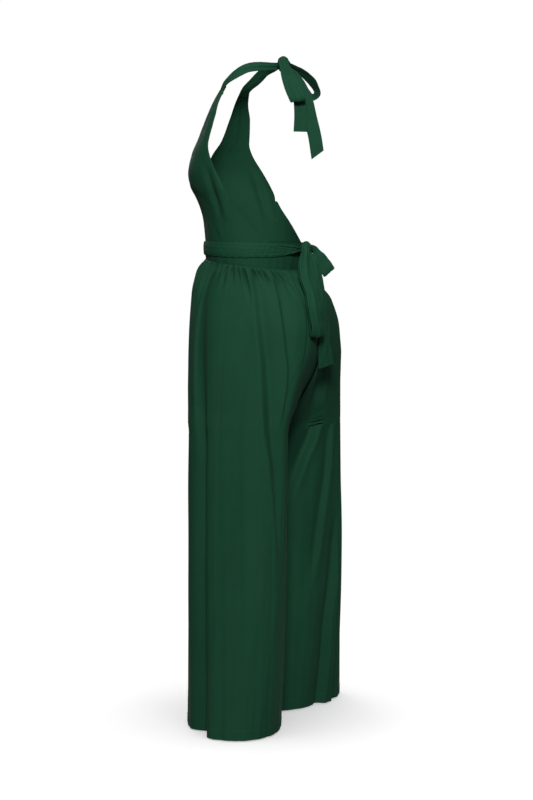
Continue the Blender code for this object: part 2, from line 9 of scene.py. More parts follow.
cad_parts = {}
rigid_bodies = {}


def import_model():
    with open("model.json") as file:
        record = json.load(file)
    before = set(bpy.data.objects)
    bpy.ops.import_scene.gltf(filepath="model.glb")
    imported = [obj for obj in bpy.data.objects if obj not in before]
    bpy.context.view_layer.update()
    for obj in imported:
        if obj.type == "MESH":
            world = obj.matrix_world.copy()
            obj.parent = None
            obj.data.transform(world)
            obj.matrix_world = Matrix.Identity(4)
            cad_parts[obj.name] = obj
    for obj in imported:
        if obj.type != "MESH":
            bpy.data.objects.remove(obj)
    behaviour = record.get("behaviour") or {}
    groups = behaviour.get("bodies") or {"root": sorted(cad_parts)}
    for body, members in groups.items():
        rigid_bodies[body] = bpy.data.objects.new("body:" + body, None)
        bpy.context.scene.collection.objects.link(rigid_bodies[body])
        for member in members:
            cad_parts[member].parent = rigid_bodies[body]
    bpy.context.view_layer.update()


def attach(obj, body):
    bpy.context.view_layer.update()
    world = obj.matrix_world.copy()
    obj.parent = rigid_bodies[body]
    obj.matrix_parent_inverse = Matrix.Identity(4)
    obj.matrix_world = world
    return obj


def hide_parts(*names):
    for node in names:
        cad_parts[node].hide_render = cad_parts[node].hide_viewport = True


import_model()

# ------------------------------------------------------------------ sizes ----
NAPE_BACK = 0.049
GAP = 0.0003
WAIST_W, WAIST_D = 0.1345, 0.1045
BAND_TOP = -0.3840
BAND_LOW, BAND_SLOPE = -0.4290, 0.0130
HEM = -1.4435
SIDE_SEAM = 88.0
CROTCH = -0.7950

BODICE = (
    # z,      wide,   front,  back,   mid,     inner, outer
    (-0.3837, 0.1345, 0.1045, 0.1045, 0.0000,   0.0, 88.0),
    (-0.3400, 0.1350, 0.1090, 0.1000, 0.0000,   0.0, 87.5),
    (-0.2880, 0.1380, 0.1230, 0.0950, 0.0000,   4.0, 87.0),
    (-0.2600, 0.1420, 0.1330, 0.0950, 0.0000,   9.0, 82.0),
    (-0.2300, 0.1420, 0.1360, 0.0950, 0.0000,  14.0, 75.0),
    (-0.1900, 0.1390, 0.1340, 0.0950, 0.0000,  22.0, 65.0),
    (-0.1600, 0.1350, 0.1240, 0.0950, 0.0000,  28.0, 60.0),
    (-0.1100, 0.1180, 0.1060, 0.0950, 0.0000,  33.0, 59.5),
    (-0.0700, 0.0980, 0.0890, 0.0950, 0.0000,  37.0, 56.0),
    (-0.0440, 0.0830, 0.0740, 0.0950, 0.0000,  41.0, 56.0),
)
BUST = (38.0, -0.236, 0.013, 24.0, 0.052)
BACK_EDGE = (
    # z,      angle
    (-0.3837, 134.0),
    (-0.3650, 123.0),
    (-0.3340, 107.5),
    (-0.3100,  96.0),
    (-0.2920,  89.0),
)
LEG = (
    # z,      side,   inner,   cf,     front,  fo,  fi,  cb,     back,   rback,  bo,  rbo, bi
    (-0.4290, 0.1350, -0.1350, 0.000,  0.1050, 2.0, 2.0, 0.000,  0.1050, 0.1050, 2.0, 2.0, 2.0),
    (-0.4600, 0.1460, -0.1460, 0.000,  0.1230, 2.1, 2.1, 0.000,  0.1340, 0.1340, 2.1, 2.1, 2.1),
    (-0.5000, 0.1620, -0.1800, 0.004,  0.1280, 2.2, 2.2, 0.020,  0.1580, 0.1590, 2.2, 2.2, 2.1),
    (-0.5600, 0.1790, -0.2400, 0.015,  0.1270, 2.2, 2.2, 0.055,  0.1660, 0.1670, 2.2, 2.2, 1.9),
    (-0.6200, 0.1890, -0.2700, 0.030,  0.1240, 2.2, 2.2, 0.080,  0.1610, 0.1650, 2.2, 2.2, 1.8),
    (-0.6600, 0.1940, -0.2500, 0.045,  0.1200, 2.2, 2.0, 0.105,  0.1530, 0.1570, 2.2, 2.2, 1.7),
    (-0.7000, 0.1980, -0.1400, 0.060,  0.1160, 2.2, 1.8, 0.125,  0.1440, 0.1500, 2.2, 2.2, 1.7),
    (-0.7400, 0.2020, -0.0740, 0.070,  0.1120, 2.2, 1.8, 0.140,  0.1360, 0.1460, 2.2, 2.2, 1.7),
    (-0.7700, 0.2060, -0.0260, 0.080,  0.1090, 2.2, 1.8, 0.148,  0.1310, 0.1440, 2.2, 2.2, 1.7),
    (-0.7950, 0.2080,  0.0000, 0.085,  0.1070, 2.1, 1.8, 0.150,  0.1290, 0.1425, 2.2, 2.3, 1.7),
    (-0.8600, 0.2130,  0.0030, 0.088,  0.1060, 2.1, 1.8, 0.150,  0.1280, 0.1410, 2.2, 2.4, 1.7),
    (-1.1000, 0.2260,  0.0040, 0.088,  0.1090, 1.9, 2.0, 0.150,  0.1250, 0.1370, 2.2, 2.8, 1.7),
    (-1.3000, 0.2380,  0.0040, 0.084,  0.1130, 1.7, 2.2, 0.150,  0.1180, 0.1280, 2.2, 3.4, 1.8),
    (-1.4435, 0.2470,  0.0040, 0.080,  0.1180, 1.6, 2.2, 0.150,  0.1090, 0.1170, 2.2, 4.5, 1.8),
)

# Broad folds, as in the solids: where round the leg at the top and foot (0 is
# the front crown, 90 the side seam, 180 the back crown), span in height,
# depth (+ ridge, - trough) at top and foot, half width.
FOLDS_LEFT = (
    # at_top, at_foot, z_top,  z_foot,  d_top,   d_foot, half
    (64.0,    60.0,  -0.430, -1.4435, -0.0030, -0.0340, 0.015),
    (84.0,    84.0,  -0.430, -1.4435,  0.0010,  0.0030, 0.016),
    (122.0,  122.0,  -0.460, -1.4435,  0.0030,  0.0050, 0.022),
    (22.0,    10.0,  -0.430, -1.200,  -0.0050, -0.0030, 0.012),
    (42.0,    30.0,  -0.430, -1.4435,  0.0040,  0.0030, 0.014),
)
FOLDS_RIGHT = (
    # at_top, at_foot, z_top,  z_foot,  d_top,   d_foot, half
    (62.0,    56.0,  -0.430, -1.4435, -0.0040, -0.0260, 0.015),
    (112.0,  128.0,  -0.430, -1.150,  -0.0055, -0.0010, 0.010),
    (135.0,  140.0,  -0.640, -1.4435,  0.0010,  0.0200, 0.040),
    (150.0,  158.0,  -0.430, -1.4435, -0.0050, -0.0110, 0.012),
    (165.0,  176.0,  -0.430, -1.4435,  0.0030,  0.0060, 0.018),
    (24.0,    12.0,  -0.430, -1.200,  -0.0050, -0.0030, 0.012),
    (44.0,    28.0,  -0.430, -1.000,   0.0040,  0.0010, 0.014),
)

# Creases: a line down the leg (height, angle) along the crest of a fold, how
# far the crest stands up and its half width; then the side on which the cloth
# falls away (-1 towards the front, 1 towards the back), how far it falls, in
# what width, and over what width it comes back; strength at top and foot.
CREASES_LEFT = (
    # line, crest, half, side, fall, steep, spread, top, foot
    (((-0.430, 107), (-0.500, 109), (-0.567, 113), (-0.628, 118), (-0.750, 131), (-0.860, 145), (-0.980, 155), (-1.040, 161), (-1.100, 171), (-1.150, 180)),
     0.0030, 0.010, 1, -0.0360, 0.0120, 0.034, 0.22, 0.30),
    (((-0.430, 133), (-0.475, 129), (-0.541, 133), (-0.607, 140), (-0.660, 150), (-0.720, 160), (-0.800, 170)),
     0.0024, 0.010, 1, -0.0100, 0.0050, 0.022, 0.55, 0.35),
    (((-0.430, 155), (-0.480, 152), (-0.521, 157), (-0.600, 164), (-0.680, 170)),
     0.0020, 0.008, 1, -0.0080, 0.0045, 0.016, 0.70, 0.15),
    (((-0.500, 73), (-0.600, 74), (-0.720, 75), (-0.860, 76), (-1.000, 76), (-1.200, 76), (-1.4435, 76)),
     0.0016, 0.010, -1, -0.0200, 0.0060, 0.026, 0.10, 1.00),
    (((-0.430, 63), (-0.470, 61), (-0.531, 56), (-0.620, 53), (-0.720, 52), (-0.860, 52)),
     0.0024, 0.008, 1, -0.0060, 0.0040, 0.014, 0.60, 0.20),
    (((-0.540, 66), (-0.640, 67), (-0.760, 68), (-0.900, 69), (-1.060, 69)),
     0.0020, 0.006, 1, -0.0036, 0.0030, 0.010, 0.20, 0.20),
    (((-1.060, 176), (-1.120, 181), (-1.170, 186)),
     0.0030, 0.008, 1, -0.0080, 0.0040, 0.014, 0.20, 0.20),
    (((-0.430, 14), (-0.560, 12), (-0.800, 8), (-1.100, 4)),
     0.0020, 0.010, 1, -0.0080, 0.0060, 0.022, 0.40, 0.20),
    (((-0.430, 36), (-0.520, 34), (-0.640, 31), (-0.820, 28)),
     0.0020, 0.009, -1, -0.0060, 0.0050, 0.018, 0.50, 0.20),
)
CREASES_RIGHT = (
    (((-0.430, 104), (-0.520, 108), (-0.640, 118), (-0.800, 130), (-1.000, 142)),
     0.0030, 0.012, 1, -0.0140, 0.0060, 0.032, 0.40, 0.30),
    (((-0.430, 128), (-0.500, 132), (-0.580, 140), (-0.680, 152)),
     0.0026, 0.010, 1, -0.0080, 0.0050, 0.020, 0.60, 0.20),
    (((-0.560, 190), (-0.660, 194), (-0.750, 203), (-0.820, 212), (-0.870, 221), (-0.920, 228), (-0.990, 236)),
     0.0050, 0.012, 1, -0.0230, 0.0100, 0.040, 0.20, 0.70),
    (((-0.720, 186), (-0.830, 193), (-0.900, 195), (-1.000, 202), (-1.080, 207), (-1.180, 214)),
     0.0036, 0.012, 1, -0.0140, 0.0070, 0.030, 0.20, 0.60),
    (((-0.960, 174), (-1.050, 178), (-1.160, 182), (-1.240, 186), (-1.330, 187), (-1.4435, 190)),
     0.0050, 0.012, 1, -0.0200, 0.0090, 0.034, 0.20, 1.00),
    (((-0.520, 160), (-0.640, 163), (-0.800, 166), (-1.000, 168)),
     0.0020, 0.008, 1, -0.0050, 0.0040, 0.014, 0.30, 0.20),
    (((-0.500, 72), (-0.600, 71), (-0.800, 70), (-1.100, 68), (-1.4435, 66)),
     0.0016, 0.012, -1, -0.0140, 0.0080, 0.030, 0.15, 1.00),
    (((-0.430, 14), (-0.540, 13), (-0.760, 9), (-1.000, 5)),
     0.0020, 0.010, 1, -0.0080, 0.0060, 0.022, 0.40, 0.20),
    (((-0.430, 33), (-0.500, 32), (-0.600, 29), (-0.760, 27)),
     0.0020, 0.009, -1, -0.0060, 0.0050, 0.018, 0.50, 0.20),
)

# Gathers under the waistband: where, how long, how deep, half width and how
# many degrees the foot has moved towards the back.
GATHERS_LEFT = (
    # at,   long,  deep,   half,   lean
    (5.0,   0.055, 0.0018, 0.0032, -1.0),
    (12.5,  0.030, 0.0014, 0.0026, 0.0),
    (19.0,  0.080, 0.0022, 0.0036, -2.0),
    (27.0,  0.036, 0.0016, 0.0028, 0.5),
    (34.0,  0.062, 0.0020, 0.0032, -1.5),
    (43.0,  0.028, 0.0014, 0.0026, 0.0),
    (50.0,  0.070, 0.0020, 0.0034, -3.0),
    (60.0,  0.095, 0.0028, 0.0034, -5.0),
    (69.0,  0.026, 0.0014, 0.0026, -0.5),
    (77.0,  0.030, 0.0014, 0.0024, 0.0),
    (84.0,  0.040, 0.0024, 0.0024, 0.0),
    (91.5,  0.030, 0.0026, 0.0024, 0.5),
    (97.0,  0.026, 0.0018, 0.0022, 0.5),
    (103.0, 0.060, 0.0026, 0.0026, 3.0),
    (113.5, 0.032, 0.0022, 0.0024, 1.5),
    (119.0, 0.026, 0.0018, 0.0022, 1.0),
    (124.5, 0.044, 0.0026, 0.0024, 2.0),
    (134.5, 0.040, 0.0026, 0.0024, 2.5),
    (140.5, 0.050, 0.0030, 0.0026, 3.0),
    (146.5, 0.034, 0.0026, 0.0024, 2.5),
    (152.0, 0.044, 0.0026, 0.0024, 3.0),
    (163.0, 0.050, 0.0026, 0.0026, 2.0),
    (170.0, 0.036, 0.0022, 0.0024, 1.0),
    (176.0, 0.050, 0.0022, 0.0028, 0.5),
)
GATHERS_RIGHT = (
    # at,   long,  deep,   half,   lean
    (4.0,   0.036, 0.0016, 0.0030, -0.5),
    (10.0,  0.064, 0.0020, 0.0034, -1.0),
    (18.5,  0.030, 0.0014, 0.0026, 0.0),
    (25.0,  0.052, 0.0018, 0.0030, -1.0),
    (35.5,  0.074, 0.0022, 0.0034, -2.5),
    (42.0,  0.026, 0.0014, 0.0026, 0.0),
    (51.0,  0.046, 0.0020, 0.0030, -1.5),
    (58.0,  0.030, 0.0016, 0.0026, -0.5),
    (66.0,  0.088, 0.0026, 0.0034, -4.0),
    (76.0,  0.028, 0.0016, 0.0024, 0.0),
    (82.0,  0.044, 0.0022, 0.0026, 0.0),
    (90.0,  0.030, 0.0024, 0.0024, 0.5),
    (98.5,  0.052, 0.0024, 0.0026, 2.0),
    (108.5, 0.030, 0.0020, 0.0024, 1.0),
    (115.0, 0.058, 0.0026, 0.0028, 3.0),
    (123.0, 0.030, 0.0022, 0.0024, 1.5),
    (133.0, 0.040, 0.0026, 0.0024, 2.0),
    (139.0, 0.070, 0.0030, 0.0028, 4.0),
    (147.5, 0.036, 0.0024, 0.0024, 2.0),
    (154.0, 0.060, 0.0028, 0.0028, 3.5),
    (161.0, 0.030, 0.0022, 0.0024, 1.0),
    (168.0, 0.048, 0.0024, 0.0026, 1.0),
    (175.0, 0.034, 0.0020, 0.0026, 0.5),
)

BELT = (
    # angle, top,     low
    (0.0,   -0.3800, -0.4085),
    (60.0,  -0.3805, -0.4110),
    (100.0, -0.3815, -0.4140),
    (135.0, -0.3840, -0.4140),
    (160.0, -0.3880, -0.4080),
    (168.0, -0.3910, -0.4050),
    (176.0, -0.3920, -0.4020),
)
# Creases along the belt: angle and share of its height at each end, depth,
# half width as a share of its height, lengths over which it fades.
BELT_CREASES = (
    # a0,    k0,   a1,    k1,   deep,    half
    (-170.0, 0.50, 172.0, 0.46, 0.0012, 0.16),
    (40.0,   0.20, 172.0, 0.30, 0.0012, 0.08),
    (70.0,   0.05, 86.0,  0.92, 0.0016, 0.10),
    (96.0,   0.78, 172.0, 0.62, 0.0013, 0.09),
    (128.0,  0.40, 172.0, 0.50, 0.0016, 0.07),
    (140.0,  0.15, 174.0, 0.40, 0.0016, 0.07),
    (146.0,  0.88, 174.0, 0.60, 0.0016, 0.07),
    (-172.0, 0.34, -60.0, 0.22, 0.0012, 0.08),
    (-172.0, 0.64, -100.0, 0.80, 0.0014, 0.09),
    (-172.0, 0.50, -130.0, 0.42, 0.0016, 0.07),
    (-40.0,  0.66, 50.0,  0.72, 0.0011, 0.10),
    (-60.0,  0.30, 12.0,  0.26, 0.0011, 0.09),
)
NECK_KNOT = ((0.0, 0.0665, 0.0040), (0.0160, 0.0150, 0.0165))
BELT_KNOT = ((0.0, 0.1205, -0.3960), (0.0190, 0.0125, 0.0150))

# Ribbons: a place on the middle line (from the waist axis), the width there
# and the way the face looks. Rows inside a knot carry the cloth into it.
NECK_STRAP = (
    # x,      y,       z,       wide,   fx,    fy,    fz
    ( 0.0635, -0.0535, -0.0600, 0.0205,  0.66, -0.70,  0.20),
    ( 0.0650, -0.0490, -0.0460, 0.0210,  0.66, -0.62,  0.35),
    ( 0.0680, -0.0400, -0.0355, 0.0220,  0.70, -0.35,  0.60),
    ( 0.0685, -0.0310, -0.0285, 0.0230,  0.72, -0.15,  0.66),
    ( 0.0640, -0.0170, -0.0180, 0.0230,  0.80,  0.05,  0.58),
    ( 0.0540,  0.0000, -0.0070, 0.0220,  0.80,  0.35,  0.45),
    ( 0.0400,  0.0180, -0.0020, 0.0210,  0.70,  0.60,  0.35),
    ( 0.0220,  0.0340, -0.0010, 0.0190,  0.40,  0.88,  0.22),
    ( 0.0060,  0.0480,  0.0000, 0.0160,  0.10,  1.00,  0.15),
    ( 0.0030,  0.0580,  0.0020, 0.0120,  0.60,  0.75,  0.15),
)
NECK_LOOP_NEAR = (
    # x,      y,       z,       wide,   fx,    fy,    fz
    ( 0.0060,  0.0660,  0.0080, 0.0120,  0.20,  0.30,  0.90),
    ( 0.0170,  0.0700,  0.0110, 0.0170,  0.45,  0.40,  0.80),
    ( 0.0245,  0.0790, -0.0020, 0.0230,  0.78,  0.48,  0.35),
    ( 0.0290,  0.0890, -0.0250, 0.0300,  0.86,  0.44,  0.22),
    ( 0.0340,  0.0995, -0.0470, 0.0330,  0.90,  0.38,  0.16),
    ( 0.0360,  0.1095, -0.0670, 0.0335,  0.92,  0.38,  0.00),
    ( 0.0340,  0.1140, -0.0770, 0.0335,  0.55,  0.30, -0.80),
    ( 0.0280,  0.1110, -0.0770, 0.0330, -0.55, -0.30, -0.80),
    ( 0.0250,  0.1040, -0.0620, 0.0320, -0.92, -0.38,  0.00),
    ( 0.0225,  0.0930, -0.0400, 0.0280, -0.90, -0.40, -0.10),
    ( 0.0180,  0.0820, -0.0180, 0.0210, -0.90, -0.40, -0.10),
    ( 0.0120,  0.0720, -0.0040, 0.0150, -0.80, -0.45, -0.25),
    ( 0.0030,  0.0660,  0.0010, 0.0110, -0.80, -0.45, -0.25),
)
NECK_TAIL_NEAR = (
    # x,      y,       z,       wide,   fx,    fy,    fz
    ( 0.0030,  0.0680,  0.0020, 0.0110,  0.80,  0.45,  0.40),
    ( 0.0045,  0.0764, -0.0092, 0.0150,  0.85,  0.45,  0.35),
    ( 0.0070,  0.0870, -0.0240, 0.0200,  0.88,  0.45,  0.20),
    ( 0.0110,  0.0990, -0.0450, 0.0245,  0.90,  0.42,  0.10),
    ( 0.0130,  0.1090, -0.0720, 0.0275,  0.93,  0.38,  0.00),
    ( 0.0130,  0.1120, -0.1050, 0.0285,  0.93,  0.38,  0.00),
    ( 0.0130,  0.1110, -0.1430, 0.0295,  0.93,  0.38,  0.00),
)
NECK_TAIL_FAR = (
    # x,      y,       z,       wide,   fx,    fy,    fz
    (-0.0030,  0.0680,  0.0020, 0.0110,  0.70,  0.50,  0.50),
    (-0.0045,  0.0780, -0.0082, 0.0150,  0.80,  0.45,  0.40),
    (-0.0050,  0.0910, -0.0210, 0.0200,  0.86,  0.48,  0.20),
    (-0.0050,  0.1050, -0.0440, 0.0250,  0.90,  0.44,  0.10),
    (-0.0040,  0.1190, -0.0760, 0.0280,  0.93,  0.38,  0.00),
    (-0.0040,  0.1280, -0.1130, 0.0290,  0.93,  0.38,  0.00),
    (-0.0040,  0.1380, -0.1520, 0.0290,  0.93,  0.38,  0.00),
    (-0.0040,  0.1450, -0.1930, 0.0290,  0.93,  0.38,  0.00),
)
NECK_LOOP_FAR = (
    # x,      y,       z,       wide,   fx,    fy,    fz
    (-0.0040,  0.0660,  0.0080, 0.0120, -0.10,  0.30,  0.90),
    (-0.0150,  0.0730,  0.0060, 0.0160, -0.45,  0.40,  0.78),
    (-0.0230,  0.0900, -0.0060, 0.0220, -0.65,  0.35,  0.66),
    (-0.0280,  0.1060, -0.0180, 0.0280, -0.72,  0.35,  0.60),
    (-0.0320,  0.1220, -0.0340, 0.0300, -0.74,  0.45,  0.50),
    (-0.0330,  0.1320, -0.0520, 0.0300, -0.68,  0.68,  0.10),
    (-0.0310,  0.1310, -0.0640, 0.0290, -0.55,  0.20, -0.80),
    (-0.0280,  0.1190, -0.0660, 0.0280, -0.40, -0.65, -0.65),
    (-0.0250,  0.1090, -0.0520, 0.0260, -0.30, -0.82, -0.45),
    (-0.0210,  0.0950, -0.0280, 0.0210, -0.20, -0.80, -0.55),
    (-0.0140,  0.0830, -0.0110, 0.0150, -0.10, -0.80, -0.60),
    (-0.0060,  0.0700,  0.0000, 0.0110, -0.10, -0.80, -0.60),
)
BELT_LOOP_NEAR = (
    # x,      y,       z,       wide,   fx,    fy,    fz
    ( 0.0060,  0.1210, -0.3900, 0.0140,  0.05,  0.60,  0.80),
    ( 0.0180,  0.1260, -0.3910, 0.0180,  0.25,  0.80,  0.55),
    ( 0.0290,  0.1300, -0.4050, 0.0240,  0.45,  0.88,  0.10),
    ( 0.0380,  0.1320, -0.4270, 0.0310,  0.55,  0.83,  0.08),
    ( 0.0500,  0.1400, -0.4560, 0.0320,  0.55,  0.83,  0.15),
    ( 0.0650,  0.1565, -0.4880, 0.0330,  0.50,  0.85,  0.20),
    ( 0.0820,  0.1690, -0.5190, 0.0350,  0.40,  0.90,  0.20),
    ( 0.0840,  0.1755, -0.5480, 0.0390,  0.28,  0.95,  0.10),
    ( 0.0820,  0.1790, -0.5700, 0.0425,  0.25,  0.93, -0.30),
    ( 0.0800,  0.1760, -0.5820, 0.0425,  0.03,  0.10, -1.00),
    ( 0.0785,  0.1710, -0.5730, 0.0420, -0.25, -0.96, -0.10),
    ( 0.0805,  0.1685, -0.5480, 0.0360, -0.28, -0.95, -0.10),
    ( 0.0785,  0.1625, -0.5190, 0.0320, -0.40, -0.90, -0.20),
    ( 0.0625,  0.1510, -0.4880, 0.0300, -0.50, -0.85, -0.20),
    ( 0.0465,  0.1325, -0.4560, 0.0280, -0.55, -0.83, -0.15),
    ( 0.0350,  0.1250, -0.4300, 0.0230, -0.55, -0.83, -0.08),
    ( 0.0200,  0.1220, -0.4090, 0.0160, -0.45, -0.85, -0.10),
    ( 0.0080,  0.1200, -0.3980, 0.0120, -0.45, -0.85, -0.10),
)
BELT_TAIL_FAR = (
    # x,      y,       z,       wide,   fx,    fy,    fz
    (-0.0010,  0.1230, -0.3980, 0.0130,  0.00,  0.80,  0.60),
    ( 0.0010,  0.1308, -0.4072, 0.0170,  0.10,  0.85,  0.50),
    ( 0.0040,  0.1400, -0.4220, 0.0230,  0.45,  0.87,  0.15),
    ( 0.0100,  0.1470, -0.4420, 0.0300,  0.40,  0.90,  0.20),
    ( 0.0210,  0.1590, -0.4760, 0.0350,  0.25,  0.95,  0.20),
    ( 0.0310,  0.1710, -0.5210, 0.0400,  0.12,  0.98,  0.12),
    ( 0.0240,  0.1735, -0.5680, 0.0415,  0.15,  0.98,  0.02),
    ( 0.0190,  0.1715, -0.6120, 0.0425,  0.36,  0.93,  0.00),
    ( 0.0085,  0.1710, -0.6520, 0.0450,  0.50,  0.86,  0.00),
)
BELT_LOOP_FAR = (
    # x,      y,       z,       wide,   fx,    fy,    fz
    (-0.0060,  0.1210, -0.3900, 0.0130,  0.30,  0.60,  0.75),
    (-0.0235,  0.1295, -0.3970, 0.0160,  0.80,  0.45,  0.40),
    (-0.0265,  0.1345, -0.4045, 0.0180,  0.88,  0.42,  0.20),
    (-0.0270,  0.1410, -0.4150, 0.0270,  0.92,  0.38,  0.05),
    (-0.0300,  0.1500, -0.4300, 0.0300,  0.92,  0.38,  0.00),
    (-0.0320,  0.1570, -0.4420, 0.0300,  0.80,  0.50, -0.20),
    (-0.0365,  0.1610, -0.4490, 0.0300,  0.00,  0.68, -0.72),
    (-0.0430,  0.1570, -0.4450, 0.0290, -0.85,  0.00, -0.45),
    (-0.0450,  0.1480, -0.4310, 0.0270, -0.92, -0.38,  0.00),
    (-0.0430,  0.1400, -0.4180, 0.0200, -0.92, -0.38,  0.00),
    (-0.0390,  0.1330, -0.4080, 0.0110, -0.85, -0.40, -0.10),
    (-0.0150,  0.1210, -0.3980, 0.0110, -0.80, -0.45, -0.20),
)
TURN_END_SLANT = 0.0150


# ---------------------------------------------------------------- helpers ----
def smooth_column(rows, key, col, at):
    """Monotone cubic through one column of a table, at any key value."""
    xs = [r[key] for r in rows]
    ys = [r[col] for r in rows]
    if xs[0] > xs[-1]:
        xs, ys = xs[::-1], ys[::-1]
    if at <= xs[0]:
        return ys[0]
    if at >= xs[-1]:
        return ys[-1]
    d = [(ys[i + 1] - ys[i]) / (xs[i + 1] - xs[i]) for i in range(len(xs) - 1)]
    m = [d[0]] + [0.0] * (len(xs) - 2) + [d[-1]]
    for i in range(1, len(xs) - 1):
        if d[i - 1] * d[i] > 0:
            h0, h1 = xs[i] - xs[i - 1], xs[i + 1] - xs[i]
            w0, w1 = 2 * h1 + h0, h1 + 2 * h0
            m[i] = (w0 + w1) / (w0 / d[i - 1] + w1 / d[i])
    i = max(k for k in range(len(xs) - 1) if xs[k] <= at)
    h = xs[i + 1] - xs[i]
    t = (at - xs[i]) / h
    return ((1 + 2 * t) * (1 - t) ** 2 * ys[i] + t * (1 - t) ** 2 * h * m[i]
            + t * t * (3 - 2 * t) * ys[i + 1] + t * t * (t - 1) * h * m[i + 1])


def mix(a, b, k):
    return a + (b - a) * k


def ease(k):
    k = np.clip(k, 0.0, 1.0)
    return k * k * (3 - 2 * k)


def band_low(angle):
    return BAND_LOW + BAND_SLOPE * math.cos(math.radians(angle))


def unit(v):
    n = np.linalg.norm(v, axis=-1, keepdims=True)
    return v / np.maximum(n, 1e-12)


# Smooth unevenness of soft cloth, from a few crossed waves; repeatable.
def drift(x, y, seed):
    a = np.sin(7.3 * x + 3.1 * y + 1.7 * seed) + 0.6 * np.sin(-4.9 * x + 9.7 * y + 2.9 * seed)
    b = 0.5 * np.sin(15.1 * x + 6.3 * y + 0.7 * seed) + 0.35 * np.sin(11.3 * x - 21.7 * y + 4.1 * seed)
    return (a + b) / 2.4


# ----------------------------------------------------------------- meshes ----
def shell(name, face, back, material, closed=False, flat=None):
    """Closed thin cloth from two grids of points, rows by columns, with flat-cut UVs in metres."""
    face = np.array(face, float)
    back = np.array(back, float)
    r, c = face.shape[:2]
    pts = np.concatenate([face.reshape(-1, 3), back.reshape(-1, 3)])
    pts[:, 1] -= NAPE_BACK
    off = r * c
    rows, cols = np.meshgrid(np.arange(r - 1), np.arange(c - 1), indexing="ij")
    p00 = (rows * c + cols).ravel()
    p01, p10, p11 = p00 + 1, p00 + c, p00 + c + 1
    quads = [np.stack([p00, p01, p11, p10], 1), np.stack([p00 + off, p10 + off, p11 + off, p01 + off], 1)]
    if not closed:
        i = np.arange(r - 1)
        a, b = i * c, (i + 1) * c
        quads.append(np.stack([a, b, b + off, a + off], 1))
        a, b = a + c - 1, b + c - 1
        quads.append(np.stack([a, a + off, b + off, b], 1))
    j = np.arange(c - 1)
    quads.append(np.stack([j, j + off, j + 1 + off, j + 1], 1))
    k = (r - 1) * c + j
    quads.append(np.stack([k, k + 1, k + 1 + off, k + off], 1))
    quads = np.concatenate(quads)
    mesh = bpy.data.meshes.new(name)
    mesh.from_pydata(pts.tolist(), [], quads.tolist())
    mesh.update()
    # Flat lengths along rows and columns, for the knit
    along = np.linalg.norm(np.diff(face, axis=1), axis=2)
    down = np.linalg.norm(np.diff(face, axis=0), axis=2)
    us = np.concatenate([np.zeros((r, 1)), np.cumsum(along, axis=1)], 1)
    us -= us.mean(axis=1, keepdims=True)
    vs = np.concatenate([np.zeros((1, c)), np.cumsum(down, axis=0)], 0)
    uv = np.stack([us, -vs], -1).reshape(-1, 2)
    uv = np.concatenate([uv, uv])
    layer = mesh.uv_layers.new(name="cut")
    loops = np.empty(len(mesh.loops), dtype=np.int32)
    mesh.loops.foreach_get("vertex_index", loops)
    layer.data.foreach_set("uv", uv[loops].astype(np.float32).ravel())
    bm = bmesh.new()
    bm.from_mesh(mesh)
    if bm.calc_volume(signed=True) < 0:
        bmesh.ops.reverse_faces(bm, faces=bm.faces)
    bm.to_mesh(mesh)
    bm.free()
    mesh.shade_smooth()
    mesh.set_sharp_from_angle(angle=math.radians(62))
    mesh.materials.append(material)
    obj = bpy.data.objects.new(name, mesh)
    bpy.context.scene.collection.objects.link(obj)
    return obj


def grid_normals(face, sign=1.0):
    du = np.gradient(face, axis=1)
    dv = np.gradient(face, axis=0)
    return unit(np.cross(du, dv)) * sign


def rounded_back(face, normal, thick):
    return face - normal * thick


